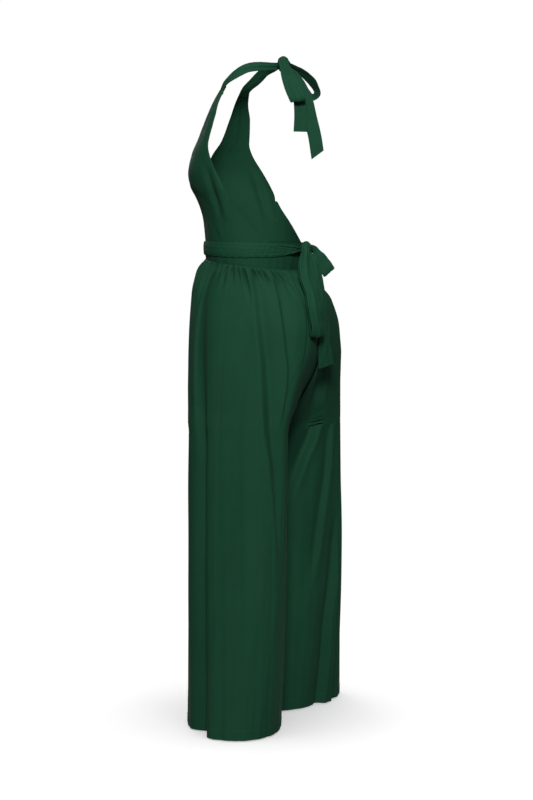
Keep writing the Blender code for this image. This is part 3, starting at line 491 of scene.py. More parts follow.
# ---------------------------------------------------------------- jersey ----
def cloth_material(name, base, knit=1.0, mottle=0.5):
    """Matte fine jersey: knit ribs and rows in the bump, painted shade between the wales, faint uneven dye, a little
    soft sheen.
    """
    mat = bpy.data.materials.new(name)
    mat.use_nodes = True
    nt = mat.node_tree
    nodes, link = nt.nodes, nt.links
    bsdf = nodes["Principled BSDF"]
    bsdf.inputs["Roughness"].default_value = 0.72
    bsdf.inputs["Specular IOR Level"].default_value = 0.02
    bsdf.inputs["Sheen Weight"].default_value = 0.008
    bsdf.inputs["Sheen Roughness"].default_value = 0.45
    bsdf.inputs["Sheen Tint"].default_value = (0.45, 0.80, 0.60, 1.0)
    uv = nodes.new("ShaderNodeUVMap")
    uv.uv_map = "cut"
    obj = nodes.new("ShaderNodeTexCoord")
    sep = nodes.new("ShaderNodeSeparateXYZ")
    link.new(uv.outputs["UV"], sep.inputs[0])

    def math_node(op, a, b=None):
        n = nodes.new("ShaderNodeMath")
        n.operation = op
        for i, v in enumerate((a, b)):
            if v is None:
                continue
            if isinstance(v, (int, float)):
                n.inputs[i].default_value = v
            else:
                link.new(v, n.inputs[i])
        return n.outputs[0]

    # Wales 0.9 mm apart, courses 0.7 mm apart and slanted within each wale
    wale = math_node("ABSOLUTE", math_node("SINE", math_node("MULTIPLY", sep.outputs["X"], math.pi / 0.0009)))
    course = math_node("SINE", math_node("ADD", math_node("MULTIPLY", sep.outputs["Y"], 2 * math.pi / 0.0007),
                                         math_node("MULTIPLY", wale, 2.6)))
    loops = math_node("ADD", math_node("MULTIPLY", wale, 0.7), math_node("MULTIPLY", course, 0.3))
    noise = nodes.new("ShaderNodeTexNoise")
    noise.inputs["Scale"].default_value = 420.0
    noise.inputs["Detail"].default_value = 2.0
    link.new(obj.outputs["Object"], noise.inputs["Vector"])
    height = math_node("ADD", loops, math_node("MULTIPLY", noise.outputs["Fac"], 0.8))
    bump = nodes.new("ShaderNodeBump")
    bump.inputs["Strength"].default_value = 0.30 * knit
    bump.inputs["Distance"].default_value = 0.00012
    link.new(height, bump.inputs["Height"])
    # Soft, broad unevenness of the surface
    wide = nodes.new("ShaderNodeTexNoise")
    wide.inputs["Scale"].default_value = 26.0
    wide.inputs["Detail"].default_value = 3.0
    link.new(obj.outputs["Object"], wide.inputs["Vector"])
    bump2 = nodes.new("ShaderNodeBump")
    bump2.inputs["Strength"].default_value = 0.30
    bump2.inputs["Distance"].default_value = 0.0016
    link.new(wide.outputs["Fac"], bump2.inputs["Height"])
    link.new(bump.outputs["Normal"], bump2.inputs["Normal"])
    link.new(bump2.outputs["Normal"], bsdf.inputs["Normal"])
    # Colour: uneven dye, and painted shade that makes it darker between the wales
    dye = nodes.new("ShaderNodeTexNoise")
    dye.inputs["Scale"].default_value = 9.0
    dye.inputs["Detail"].default_value = 5.0
    dye.inputs["Roughness"].default_value = 0.62
    link.new(obj.outputs["Object"], dye.inputs["Vector"])
    ramp = nodes.new("ShaderNodeValToRGB")
    ramp.color_ramp.elements[0].position = 0.25
    ramp.color_ramp.elements[1].position = 0.75
    lo = [c * (1 - 0.16 * mottle) for c in base]
    hi = [c * (1 + 0.14 * mottle) for c in base]
    ramp.color_ramp.elements[0].color = (*lo, 1.0)
    ramp.color_ramp.elements[1].color = (*hi, 1.0)
    link.new(dye.outputs["Fac"], ramp.inputs["Fac"])
    # painted shade: the knit's height darkens the base colour where the knit is low between the wales
    shade = nodes.new("ShaderNodeMix")
    shade.data_type = "RGBA"
    shade.blend_type = "MULTIPLY"
    shade.inputs["Factor"].default_value = 0.16
    link.new(ramp.outputs["Color"], shade.inputs["A"])
    comb = nodes.new("ShaderNodeCombineColor")
    for ch in ("Red", "Green", "Blue"):
        link.new(loops, comb.inputs[ch])
    link.new(comb.outputs["Color"], shade.inputs["B"])
    link.new(shade.outputs["Result"], bsdf.inputs["Base Color"])
    rough = math_node("ADD", math_node("MULTIPLY", dye.outputs["Fac"], 0.10), 0.68)
    link.new(rough, bsdf.inputs["Roughness"])
    return mat


BASE = (0.0030, 0.0178, 0.0090)
JERSEY = cloth_material("jersey", BASE)
JERSEY_TIE = cloth_material("jersey_tie", tuple(c * 1.06 for c in BASE))
THREAD = cloth_material("thread", tuple(c * 0.80 for c in BASE), knit=0.0, mottle=0.2)


# -------------------------------------------------------------- trousers ----
def leg_row(z):
    """All the ring's sizes at one height."""
    par = {n: smooth_column(LEG, 0, i + 1, z) for i, n in enumerate(
        ("side", "inner", "cf", "front", "fo", "fi", "cb", "back", "rback", "bo", "rbo", "bi"))}
    for half, crown, full in (("front", "cf", "fi"), ("back", "cb", "bi")):
        if z <= CROTCH:
            par["cut_" + half] = math.pi / 2
        else:
            k = par[crown] / (par[crown] - par["inner"])
            par["cut_" + half] = math.asin(min(1.0, k ** (par[full] / 2)))
    return par


def ring(par, a, right):
    s, c = np.sin(a), np.cos(a)
    fore, outer = c >= 0, s >= 0
    crown = np.where(fore, par["cf"], par["cb"])
    depth = np.where(fore, -par["front"], par["rback"] if right else par["back"])
    full = np.where(fore, np.where(outer, par["fo"], par["fi"]),
                    np.where(outer, par["rbo"] if right else par["bo"], par["bi"]))
    reach = np.where(outer, par["side"], par["inner"]) - crown
    return crown + reach * np.abs(s) ** (2 / full), depth * np.abs(c) ** (2 / full)


def line_at(line, z):
    """Angle of a crease at height z, or None above and below it; and how far along it is."""
    top, foot = line[0][0], line[-1][0]
    if z > top + 0.004 or z < foot:
        return None, 0.0
    zs = [p[0] for p in line][::-1]
    at = [p[1] for p in line][::-1]
    # smooth through the points
    i = int(np.clip(np.searchsorted(zs, z) - 1, 0, len(zs) - 2))
    t = (z - zs[i]) / (zs[i + 1] - zs[i])
    t = min(1.0, max(0.0, t))
    m = [0.0] * len(zs)
    for k in range(len(zs)):
        lo, hi = max(0, k - 1), min(len(zs) - 1, k + 1)
        m[k] = (at[hi] - at[lo]) / (zs[hi] - zs[lo])
    h = zs[i + 1] - zs[i]
    val = ((1 + 2 * t) * (1 - t) ** 2 * at[i] + t * (1 - t) ** 2 * h * m[i]
           + t * t * (3 - 2 * t) * at[i + 1] + t * t * (t - 1) * h * m[i + 1])
    return val, (top - z) / (top - foot)


def leg_shift(deg, z, pace, right):
    """How far the cloth stands out from the plain ring, in metres."""
    out = np.zeros_like(deg)
    for at0, at1, z0, z1, d0, d1, half in (FOLDS_RIGHT if right else FOLDS_LEFT):
        if z > z0 + 0.001 or z < z1 - 0.001:
            continue
        k = max(0.0, (z0 - z) / (z0 - z1))
        fade = float(ease((z - z1) / 0.10)) if z1 > HEM + 0.01 else 1.0
        away = (deg - mix(at0, at1, k ** 0.8)) * pace / (half * (1 + 0.8 * k))
        out += mix(d0, d1, k) * fade * np.exp(-away * away)
    for line, crest, half, way, fall, steep, spread, s_top, s_foot in (CREASES_RIGHT if right else CREASES_LEFT):
        at, k = line_at(line, z)
        if at is None:
            continue
        whole = line[-1][0] <= HEM + 0.001
        power = mix(s_top, s_foot, k) + 1.6 * k * (1 - k) * (0.5 if whole else 1.0)
        if line[0][0] < -0.45:
            power *= float(ease(k / 0.25))
        if not whole:
            power *= float(ease((1 - k) / 0.25))
        d = (deg - at) * pace * way
        bump = crest * np.exp(-(d / half) ** 2)
        dd = np.maximum(d, 0.0)
        bump = bump + fall * (1 - np.exp(-(dd / steep) ** 2)) * np.exp(-(dd / spread) ** 2)
        out += power * bump
    below = BAND_LOW - z
    for at, long, deep, half, lean in (GATHERS_RIGHT if right else GATHERS_LEFT):
        if below > long * 1.7:
            continue
        k = below / long
        power = float(ease(0.30 + below / 0.012)) * math.exp(-1.35 * k * k)
        d = np.abs(deg - at - lean * k) * pace / (half * (1 + 0.9 * k))
        out += 2.7 * power * deep * (0.40 * np.exp(-((d - 2.1) / 1.1) ** 2) - 1.15 * np.exp(-d ** 1.35))
    return out


def leg_grid(us, zs, right):
    face, deg_all = [], []
    e = math.radians(1.2)
    for z in zs:
        par = leg_row(z)
        a0, a1 = -par["cut_front"], math.pi + par["cut_back"]
        a = np.where(us < 0.5, mix(a0, math.pi / 2, us * 2), mix(math.pi / 2, a1, us * 2 - 1))
        x, y = ring(par, a, right)
        xa, ya = ring(par, a - e, right)
        xb, yb = ring(par, a + e, right)
        tx, ty = xb - xa, yb - ya
        n = np.maximum(np.hypot(tx, ty), 1e-9)
        pace = n / (2 * math.degrees(e))
        v = (BAND_LOW - z) / (BAND_LOW - HEM)
        shift = leg_shift(np.degrees(a), z, pace, right)
        shift = shift * ease(np.minimum(us, 1 - us) / 0.05) * float(ease(0.25 + v / 0.02))
        # faint unevenness, more towards the hem
        shift = shift + (0.0004 + 0.0011 * v) * drift(np.degrees(a) / 24.0, z * 1.6, 3 if right else 1) \
            * ease(np.minimum(us, 1 - us) / 0.05) * float(ease(v / 0.05))
        drop = BAND_SLOPE * np.cos(np.arctan2(x / WAIST_W, -y / WAIST_D)) * (1 - float(ease(v / 0.25)))
        face.append(np.stack([x + ty / n * shift, y - tx / n * shift, z + drop], -1))
        deg_all.append(np.degrees(a))
    return np.array(face), np.array(deg_all)


def dense(a, b, count, edge, fine):
    """Even steps from a to b with a few close steps at each end."""
    mid = np.linspace(a + edge, b - edge, count)
    head = a + edge * (np.linspace(0, 1, fine, endpoint=False) ** 1.5)
    return np.concatenate([head, mid, (a + b) - head[::-1]])


def leg_heights():
    top = BAND_LOW - 0.095 * np.linspace(0, 1, 34) ** 1.25
    mid = np.linspace(top[-1], HEM + 0.030, 112)[1:]
    low = np.linspace(mid[-1], HEM, 16)[1:]
    return np.concatenate([top, mid, low])


THICK_LEG = 0.0012


def leg_piece(name, right, a, b, wide):
    zs = leg_heights()
    cols = 168
    us = dense(a, b, cols, 0.006, 3)
    face, _ = leg_grid(us, zs, right)
    n = grid_normals(face, -1.0)
    # turned hem: a slightly thicker band 20 mm deep, and a rounded lower edge
    drop = (zs - HEM)[:, None, None]
    hem = 0.0005 * ease((0.0215 - drop) / 0.0015) * ease(drop / 0.0015 + 0.2)
    # cloth rolls into the seams
    edge = np.minimum(us - a, b - us) / 0.006
    roll = -0.0005 * (1 - ease(edge * 1.6)) ** 2 * 0.6
    face = face + n * (hem + roll[None, :, None])
    back = face - n * (THICK_LEG + hem)
    # top edge tucks under the waistband
    tuck = ease(1 - (BAND_LOW - zs) / 0.004)[:, None, None] * 0.0006
    face, back = face - n * tuck, back - n * tuck
    for g in (face, back):
        # the centre seam closes on the middle plane above the fork
        g[:, :, 0] = np.where(g[:, :, 0] < 1.5 * GAP, 0.0, g[:, :, 0])
        if right:
            g[:, :, 0] *= -1
    obj = shell(name, face, back, JERSEY)
    return obj, face, n


LEG_FLAT = (0.56, 1.05)
legs = {}
for side, right in (("left", False), ("right", True)):
    for half, a, b in (("front", 0.0002, 0.49998), ("back", 0.50002, 0.9998)):
        node = "trouser_" + side + "_" + half
        legs[node] = leg_piece("cloth_" + node, right, a, b, LEG_FLAT)


# ------------------------------------------------------------- waistband ----
def band_face(angle, z, out=0.0):
    a = np.radians(angle)
    return np.stack([(WAIST_W + out) * np.sin(a), -(WAIST_D + out) * np.cos(a), z + 0 * a], -1)


def waistband(name, a0, a1):
    cols = 150
    angles = np.linspace(a0, a1, cols)
    ks = np.linspace(0, 1, 15)
    face = []
    for k in ks:
        low = BAND_LOW + BAND_SLOPE * np.cos(np.radians(angles)) + 0.00002
        z = mix(BAND_TOP, low, k)
        out = 0.0008 * math.sin(math.pi * min(1, k * 1.1)) - 0.0006 * float(ease((k - 0.93) / 0.07))
        wave = 0.00045 * drift(angles / 9.0, k * 2.0, 5) * math.sin(math.pi * k)
        pull = 0.0005 * float(ease((k - 0.45) / 0.5)) * np.sin(angles * 0.55 + 1.3 * np.sin(angles * 0.13))
        face.append(band_face(angles, z, out + wave + pull))
    face = np.array(face)
    n = grid_normals(face, -1.0)
    if (n[7, cols // 2] * face[7, cols // 2] * np.array([1, 1, 0])).sum() < 0:
        n = -n
    return shell(name, face, face - n * 0.0014, JERSEY)


HALF = math.degrees(0.5 * GAP / WAIST_D)
band_front = waistband("cloth_waistband_front", -SIDE_SEAM + HALF, SIDE_SEAM - HALF)
band_back = waistband("cloth_waistband_back", SIDE_SEAM + HALF, 360 - SIDE_SEAM - HALF)


# ---------------------------------------------------------------- bodice ----
# Darts and soft pulls of the left front: angle and height at each end, depth,
# half width in degrees, lift beside it.
BODICE_PULLS = (
    # a0,   z0,     a1,   z1,     deep,   half, lift
    (66.0, -0.228, 76.0, -0.325, 0.0042, 4.6, 0.0034),
    (58.0, -0.300, 30.0, -0.250, 0.0010, 6.0, 0.0006),
    (46.0, -0.375, 40.0, -0.310, 0.0008, 5.0, 0.0005),
    (20.0, -0.375, 24.0, -0.320, 0.0009, 4.5, 0.0005),
    (44.0, -0.060, 45.0, -0.150, 0.0013, 3.6, 0.0010),
    (50.0, -0.052, 53.0, -0.120, 0.0011, 3.0, 0.0008),
    (72.0, -0.378, 64.0, -0.345, 0.0010, 4.0, 0.0006),
)


def torso_row(z, angles):
    wide = smooth_column(BODICE, 0, 1, z)
    front = smooth_column(BODICE, 0, 2, z)
    back = smooth_column(BODICE, 0, 3, z)
    a = np.radians(angles)
    depth = np.where(angles < 90, front, back)
    b_at, b_z, b_full, b_wide, b_high = BUST
    bump = b_full * np.exp(-((angles - b_at) / b_wide) ** 2 - ((z - b_z) / b_high) ** 2)
    for a0, z0, a1, z1, deep, half, lift in BODICE_PULLS:
        hi, lo = max(z0, z1), min(z0, z1)
        k = (z - z0) / (z1 - z0)
        if z > hi + 0.02 or z < lo - 0.02:
            continue
        at = mix(a0, a1, k)
        d = (angles - at) / half
        power = math.sin(math.pi * min(1, max(0, (k + 0.12) / 1.24))) ** 0.8
        bump = bump - deep * power * np.exp(-(d / 0.75) ** 2) + lift * power * np.exp(-((d - 1.6) / 1.1) ** 2) \
            + 0.4 * lift * power * np.exp(-((d + 1.6) / 1.1) ** 2)
    return np.stack([(wide + bump) * np.sin(a), -(depth + bump) * np.cos(a), z + 0 * a], -1)


def bodice(name, front, right):
    top = -0.0440 if front else -0.2920
    rows = 92 if front else 34
    us = dense(0.0, 1.0, 52 if front else 30, 0.03, 3)
    face = []
    for z in np.linspace(BAND_TOP + 1.3 * GAP, top, rows):
        if front:
            a0, a1 = smooth_column(BODICE, 0, 5, z), smooth_column(BODICE, 0, 6, z)
            if z < -0.2920:
                a1 = SIDE_SEAM - 0.003
        else:
            a0, a1 = SIDE_SEAM + 0.003, smooth_column(BACK_EDGE, 0, 1, z)
        face.append(torso_row(z, mix(a0, a1, us)))
    face = np.array(face)
    n = grid_normals(face, 1.0)
    # clean turned edge: the free edges are rolled in
    free = (us if front else 1 - us) if not front else np.minimum(us, 1 - us)
    free = np.minimum(us, 1 - us) if front else 1 - us
    roll = -0.0010 * (1 - ease(free / 0.025)) ** 2
    if front:
        # below the V and below the armhole the edge is sewn, and lies flat
        sewn = (us[None, :] < 0.5) & (face[:, :1, 2] < -0.31) | (us[None, :] > 0.5) & (face[:, :1, 2] < -0.2920)
        roll = roll[None, :] * np.where(sewn, 0.0, 1.0)
    else:
        roll = roll[None, :]
    face = face + n * roll[:, :, None] + n * (0.0003 * drift(us[None, :, None] * 5, face[:, :, 2:3] * 22, 9))
    back = face - n * 0.0016
    for g in (face, back):
        g[:, :, 0] = np.maximum(g[:, :, 0], 0.0)
        if right:
            g[:, :, 0] *= -1
    return shell(name, face, back, JERSEY), face, n


bodices = {}
for side, right in (("left", False), ("right", True)):
    bodices["bodice_front_" + side] = bodice("cloth_bodice_front_" + side, True, right)
    bodices["bodice_back_" + side] = bodice("cloth_bodice_back_" + side, False, right)


# --------------------------------------------------------------- ribbons ----
def ribbon_path(rows, count):
    pts = np.array(rows, float)
    leg = np.r_[0.0, np.cumsum(np.linalg.norm(np.diff(pts[:, :3], axis=0), axis=1))]
    out = []
    for s in np.linspace(0, leg[-1], count):
        i = min(len(leg) - 2, max(0, int(np.searchsorted(leg, s, side="right")) - 1))
        t = (s - leg[i]) / (leg[i + 1] - leg[i])
        p0, p1 = pts[max(0, i - 1)], pts[i]
        p2, p3 = pts[i + 1], pts[min(len(pts) - 1, i + 2)]
        h = leg[i + 1] - leg[i]
        m1 = (p2 - p0) / max(1e-6, (leg[i + 1] - leg[max(0, i - 1)])) * h
        m2 = (p3 - p1) / max(1e-6, (leg[min(len(leg) - 1, i + 2)] - leg[i])) * h
        out.append((2 * t ** 3 - 3 * t ** 2 + 1) * p1 + (t ** 3 - 2 * t ** 2 + t) * m1
                   + (3 * t ** 2 - 2 * t ** 3) * p2 + (t ** 3 - t ** 2) * m2)
    return np.array(out)


def ribbon(name, rows, count, crown=0.0, slant=0.0, mirror=False, thick=0.0016, pleats=(), ends=(1, 0), curl=0.0):
    """Soft flat tie. pleats: (where across -1..1, half width, depth at the pinched
    end, depth far from it). ends: which ends are pinched in a knot."""
    across = 24
    path = ribbon_path(rows, count)
    # even out the face directions a little
    for _ in range(2):
        path[1:-1, 4:7] = 0.25 * path[:-2, 4:7] + 0.5 * path[1:-1, 4:7] + 0.25 * path[2:, 4:7]
    face, back = [], []
    total = float(np.linalg.norm(np.diff(path[:, :3], axis=0), axis=1).sum())
    w = np.linspace(-1, 1, across + 1)
    for i, row in enumerate(path):
        s = i / (count - 1)
        ahead = path[min(count - 1, i + 1), :3] - path[max(0, i - 1), :3]
        ahead /= np.linalg.norm(ahead)
        look = row[4:7] - ahead * np.dot(row[4:7], ahead)
        look /= np.linalg.norm(look)
        wide = np.cross(look, ahead)
        pinch = 0.0
        if ends[0]:
            pinch = max(pinch, math.exp(-((s * total) / 0.030) ** 2))
        if ends[1]:
            pinch = max(pinch, math.exp(-(((1 - s) * total) / 0.030) ** 2))
        lift = crown * row[3] * (1 - w * w)
        for at, half, near, far in pleats:
            d = (w - at) / (half * (1 - 0.35 * pinch))
            lift = lift + mix(far, near, pinch) * np.exp(-d * d)
        lift = lift + curl * np.abs(w) ** 6
        lift = lift + 0.0005 * drift(w * 0.6 + 2 * s, s * 5.0 + w * 0.2, len(name)) * (1 - 0.5 * pinch)
        p = row[:3] + wide * (w * row[3] / 2)[:, None] + look * lift[:, None]
        p = p + ahead * (-slant * w * 0.5 * float(ease((s - 0.6) / 0.4)))[:, None]
        t = thick * (0.55 + 0.45 * np.sqrt(np.maximum(0, 1 - np.abs(w) ** 8)))[:, None] / 2
        face.append(p + look * t)
        back.append(p - look * t)
    face, back = np.array(face), np.array(back)
    if mirror:
        face[:, :, 0] *= -1
        back[:, :, 0] *= -1
    return shell(name, face, back, JERSEY_TIE), face, path


N = 84
ties = {}
ties["neck_strap_left"] = ribbon("cloth_neck_strap_left", NECK_STRAP, N, 0.06, pleats=(
    (-0.30, 0.22, -0.0022, -0.0007), (0.15, 0.20, 0.0016, 0.0006), (0.50, 0.18, -0.0018, -0.0004)), ends=(0, 1))
ties["neck_strap_right"] = ribbon("cloth_neck_strap_right", NECK_STRAP, N, 0.06, mirror=True, pleats=(
    (-0.20, 0.24, -0.0020, -0.0006), (0.30, 0.20, 0.0014, 0.0004), (0.60, 0.16, -0.0014, -0.0003)), ends=(0, 1))
ties["neck_loop_near"] = ribbon("cloth_neck_loop_near", NECK_LOOP_NEAR, N, 0.05, pleats=(
    (-0.45, 0.20, -0.0028, -0.0004), (0.05, 0.22, 0.0020, 0.0006), (0.42, 0.18, -0.0030, -0.0009), (0.75, 0.14, 0.0014, 0.0003)), ends=(1, 1))
ties["neck_loop_far"] = ribbon("cloth_neck_loop_far", NECK_LOOP_FAR, N, 0.02, pleats=(
    (-0.30, 0.22, -0.0024, -0.0004), (0.30, 0.22, -0.0022, -0.0003)), ends=(1, 1))
ties["neck_tail_near"] = ribbon("cloth_neck_tail_near", NECK_TAIL_NEAR, N, 0.05, pleats=(
    (-0.25, 0.20, -0.0024, -0.0005), (0.35, 0.22, -0.0022, -0.0004), (0.0, 0.2, 0.0016, 0.0002)), ends=(1, 0))
ties["neck_tail_far"] = ribbon("cloth_neck_tail_far", NECK_TAIL_FAR, N, 0.05, slant=TURN_END_SLANT, pleats=(
    (-0.30, 0.22, -0.0024, -0.0007), (0.25, 0.20, -0.0022, -0.0005), (0.60, 0.16, 0.0014, 0.0003)), ends=(1, 0))
ties["belt_loop_near"] = ribbon("cloth_belt_loop_near", BELT_LOOP_NEAR, 2 * N - 20, 0.05, pleats=(
    (-0.45, 0.24, -0.0032, -0.0002), (0.10, 0.34, 0.0026, 0.0016), (0.52, 0.22, -0.0034, -0.0003)), ends=(1, 1))
ties["belt_tail_far"] = ribbon("cloth_belt_tail_far", BELT_TAIL_FAR, N + 30, 0.05, pleats=(
    (-0.35, 0.22, -0.0032, -0.0003), (0.05, 0.26, 0.0024, 0.0004), (0.45, 0.22, -0.0030, -0.0007)), ends=(1, 0))
ties["belt_loop_far"] = ribbon("cloth_belt_loop_far", BELT_LOOP_FAR, N, 0.03, pleats=(
    (-0.30, 0.22, -0.0026, -0.0005), (0.35, 0.20, -0.0024, -0.0004)), ends=(1, 1))


def belt():
    cols = 300
    lim = 175.0
    angles = np.linspace(-lim, lim, cols)
    ks = np.linspace(0, 1, 27)
    face, back = [], []
    top = np.array([smooth_column(BELT, 0, 1, abs(a)) for a in angles])
    low = np.array([smooth_column(BELT, 0, 2, abs(a)) for a in angles])
    # soft, uneven edges
    top = top + 0.0009 * drift(angles / 13.0, 0.0 * angles, 2)
    low = low + 0.0011 * drift(angles / 11.0, 0.0 * angles + 1.0, 4)
    for k in ks:
        z = mix(top, low, k)
        swell = 0.0018 + 0.0024 * math.sin(math.pi * k) ** 0.7 + 0.0060 * ease((np.abs(angles) - 150) / 18)
        lift = np.zeros_like(angles)
        for a0, k0, a1, k1, deep, half in BELT_CREASES:
            s = (angles - a0) / (a1 - a0)
            inside = (s > -0.05) & (s < 1.05)
            at = mix(k0, k1, np.clip(s, 0, 1))
            pinned = abs(a0) > 165, abs(a1) > 165
            fade = (1.0 if pinned[0] else ease(s / 0.25)) * (1.0 if pinned[1] else ease((1 - s) / 0.25))
            fade = fade * mix(0.30, 1.0, ease((np.abs(angles) - 118) / 40))
            d = (k - at) / half
            lift = lift - inside * deep * fade * np.exp(-d * d) + inside * 0.5 * deep * fade * np.exp(-((d - 1.8) / 0.9) ** 2)
        lift = lift + 0.0005 * drift(angles / 8.0, k * 2.5 + 0 * angles, 6)
        face.append(band_face(angles, z, swell + lift + 0.0010))
    face = np.array(face)
    n = grid_normals(face, 1.0)
    mid = (13, cols // 2)
    if n[mid][1] > 0:
        n = -n
    back = face - n * 0.0016
    return shell("cloth_belt", face, back, JERSEY_TIE)


belt_obj = belt()


def knot(name, spec, waves, seed):
    """Wound knot: rounded lump with wraps running round it, pulled in at its ends."""
    (cx, cy, cz), (rx, ry, rz) = spec
    rows, cols = 48, 72
    a = np.linspace(0, math.pi, rows)[:, None]
    b = np.linspace(0, 2 * math.pi, cols, endpoint=False)[None, :]
    k = np.ones((rows, cols))
    for turns, lean, deep, phase in waves:
        k = k - deep * np.abs(np.sin(turns * (np.cos(a) * 1.0 + lean * np.cos(b + phase)) * 1.6)) ** 0.7 * np.sin(a) + 0.4 * deep
    k = k + 0.04 * drift(np.cos(b) * 1.2, np.cos(a) * 1.6, seed)
    px = cx + rx * k * np.sin(a) * np.cos(b)
    py = cy - NAPE_BACK + ry * k * np.sin(a) * np.sin(b)
    pz = cz + rz * k * np.cos(a) + 0 * b
    verts = np.stack([px, py, pz], -1)
    pts = [verts[0].mean(0)] + verts[1:-1].reshape(-1, 3).tolist() + [verts[-1].mean(0)]
    faces = [(0, 1 + j, 1 + (j + 1) % cols) for j in range(cols)]
    for i in range(rows - 3):
        for j in range(cols):
            p, q = 1 + i * cols + j, 1 + i * cols + (j + 1) % cols
            faces.append((p, p + cols, q + cols, q))
    last = len(pts) - 1
    faces += [(last, 1 + (rows - 3) * cols + (j + 1) % cols, 1 + (rows - 3) * cols + j) for j in range(cols)]
    mesh = bpy.data.meshes.new(name)
    mesh.from_pydata([tuple(float(c) for c in p) for p in pts], [], faces)
    mesh.update()
    layer = mesh.uv_layers.new(name="cut")
    for loop in mesh.loops:
        co = mesh.vertices[loop.vertex_index].co
        ang = math.atan2(co.y - (cy - NAPE_BACK), co.x - cx)
        layer.data[loop.index].uv = (ang * rx, co.z)
    bm = bmesh.new()
    bm.from_mesh(mesh)
    bmesh.ops.recalc_face_normals(bm, faces=bm.faces)
    if bm.calc_volume(signed=True) < 0:
        bmesh.ops.reverse_faces(bm, faces=bm.faces)
    bm.to_mesh(mesh)
    bm.free()
    mesh.shade_smooth()
    mesh.materials.append(JERSEY_TIE)
    obj = bpy.data.objects.new(name, mesh)
    bpy.context.scene.collection.objects.link(obj)
    return obj


neck_knot = knot("cloth_neck_knot", NECK_KNOT, ((2.0, 0.25, 0.12, 0.4), (4.0, -0.20, 0.05, 1.9)), 3)
belt_knot = knot("cloth_belt_knot", BELT_KNOT, ((2.0, 0.30, 0.12, 1.2), (4.0, -0.20, 0.05, 2.6)), 7)


# -------------------------------------------------------------- stitching ----
def stitches(name, lines, long=0.0026, step=0.0038, wide=0.00035, proud=0.00018):
    """Short rounded stitches along lines of (point, normal) in the garment's own axes."""
    verts, faces = [], []
    for pts, nrm in lines:
        pts, nrm = np.array(pts, float), np.array(nrm, float)
        run = np.r_[0.0, np.cumsum(np.linalg.norm(np.diff(pts, axis=0), axis=1))]
        count = int(run[-1] / step)
        for i in range(count):
            s0 = (i + 0.15) * step
            s1 = s0 + long

            def at(s):
                return (np.array([np.interp(s, run, pts[:, c]) for c in range(3)]),
                        unit(np.array([np.interp(s, run, nrm[:, c]) for c in range(3)])))
            (p0, n0), (p1, _) = at(s0), at(s1)
            ahead = unit(p1 - p0)
            sidev = unit(np.cross(n0, ahead))
            base = len(verts)
            for t, w, h in ((0.0, 0.3, 0.0), (0.25, 1.0, 0.9), (0.75, 1.0, 0.9), (1.0, 0.3, 0.0)):
                p = p0 + (p1 - p0) * t
                verts += [p - sidev * wide * w - n0 * 0.0002, p + n0 * proud * (0.2 + h), p + sidev * wide * w - n0 * 0.0002]
            for r in range(3):
                q = base + r * 3
                faces += [(q, q + 3, q + 4, q + 1), (q + 1, q + 4, q + 5, q + 2), (q + 2, q + 5, q + 3, q)]
            faces += [(base, base + 1, base + 2), (base + 9, base + 11, base + 10)]
    mesh = bpy.data.meshes.new(name)
    v = np.array(verts)
    v[:, 1] -= NAPE_BACK
    mesh.from_pydata(v.tolist(), [], faces)
    mesh.update()
    mesh.uv_layers.new(name="cut")
    bm = bmesh.new()
    bm.from_mesh(mesh)
    bmesh.ops.recalc_face_normals(bm, faces=bm.faces)
    bm.to_mesh(mesh)
    bm.free()
    mesh.shade_smooth()
    mesh.materials.append(THREAD)
    obj = bpy.data.objects.new(name, mesh)
    bpy.context.scene.collection.objects.link(obj)
    return obj


def outward(n, right):
    n = n.copy()
    if right:
        n[..., 0] *= -1
    return n


stitch_of = {}
zs_leg = leg_heights()
hem_row = int(np.argmin(np.abs(zs_leg - (HEM + 0.0190))))
for node, (obj, face, n) in legs.items():
    right = "right" in node
    row = face[hem_row, 4:-4]
    stitch_of[node] = stitches("thread_" + node, [(row, outward(n, right)[hem_row, 4:-4])])

# turned ends of the ties: a row of stitches 7 mm above each end
for node, share in (("neck_tail_near", 0.0070), ("neck_tail_far", 0.0070), ("belt_tail_far", 0.0075)):
    obj, face, path = ties[node]
    run = np.linalg.norm(face[-1, 12] - face[:-1, 12], axis=1)
    i = int(np.argmin(np.abs(run - share)))
    look = unit(grid_normals(face, 1.0))
    want = path[i, 4:7]
    if (look[i, 12] * want).sum() < 0:
        look = -look
    stitch_of[node] = stitches("thread_" + node, [(face[i, 1:-1], look[i, 1:-1])], long=0.0022, step=0.0030)

# --------------------------------------------------- what each piece is ----
made = {n: v[0] for n, v in legs.items()}
made.update({n: v[0] for n, v in bodices.items()})
made.update({n: v[0] for n, v in ties.items()})
made.update({"waistband_front": band_front, "waistband_back": band_back, "belt": belt_obj,
             "neck_knot": neck_knot, "belt_knot": belt_knot})
for node, obj in made.items():
    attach(obj, "root")
    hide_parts(node)
    if node in stitch_of:
        t = stitch_of[node]
        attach(t, "root")

# ------------------------------------------------------ floor, light, camera ----
scene = bpy.context.scene


def floor():
    mesh = bpy.data.meshes.new("floor")
    z, spread_r, n = HEM - 0.0020, 1.55, 96
    rim = [(spread_r * math.cos(2 * math.pi * i / n), spread_r * math.sin(2 * math.pi * i / n), z) for i in range(n)]
    mesh.from_pydata(rim, [], [tuple(range(n))])
    mesh.update()
    mat = bpy.data.materials.new("floor_white")
    mat.use_nodes = True
    b = mat.node_tree.nodes["Principled BSDF"]
    b.inputs["Base Color"].default_value = (0.90, 0.90, 0.90, 1.0)
    b.inputs["Roughness"].default_value = 0.9
    b.inputs["Specular IOR Level"].default_value = 0.1
    b.inputs["Emission Color"].default_value = (1.0, 1.0, 1.0, 1.0)
    b.inputs["Emission Strength"].default_value = 0.40
    mesh.materials.append(mat)
    obj = bpy.data.objects.new("floor", mesh)
    scene.collection.objects.link(obj)


floor()

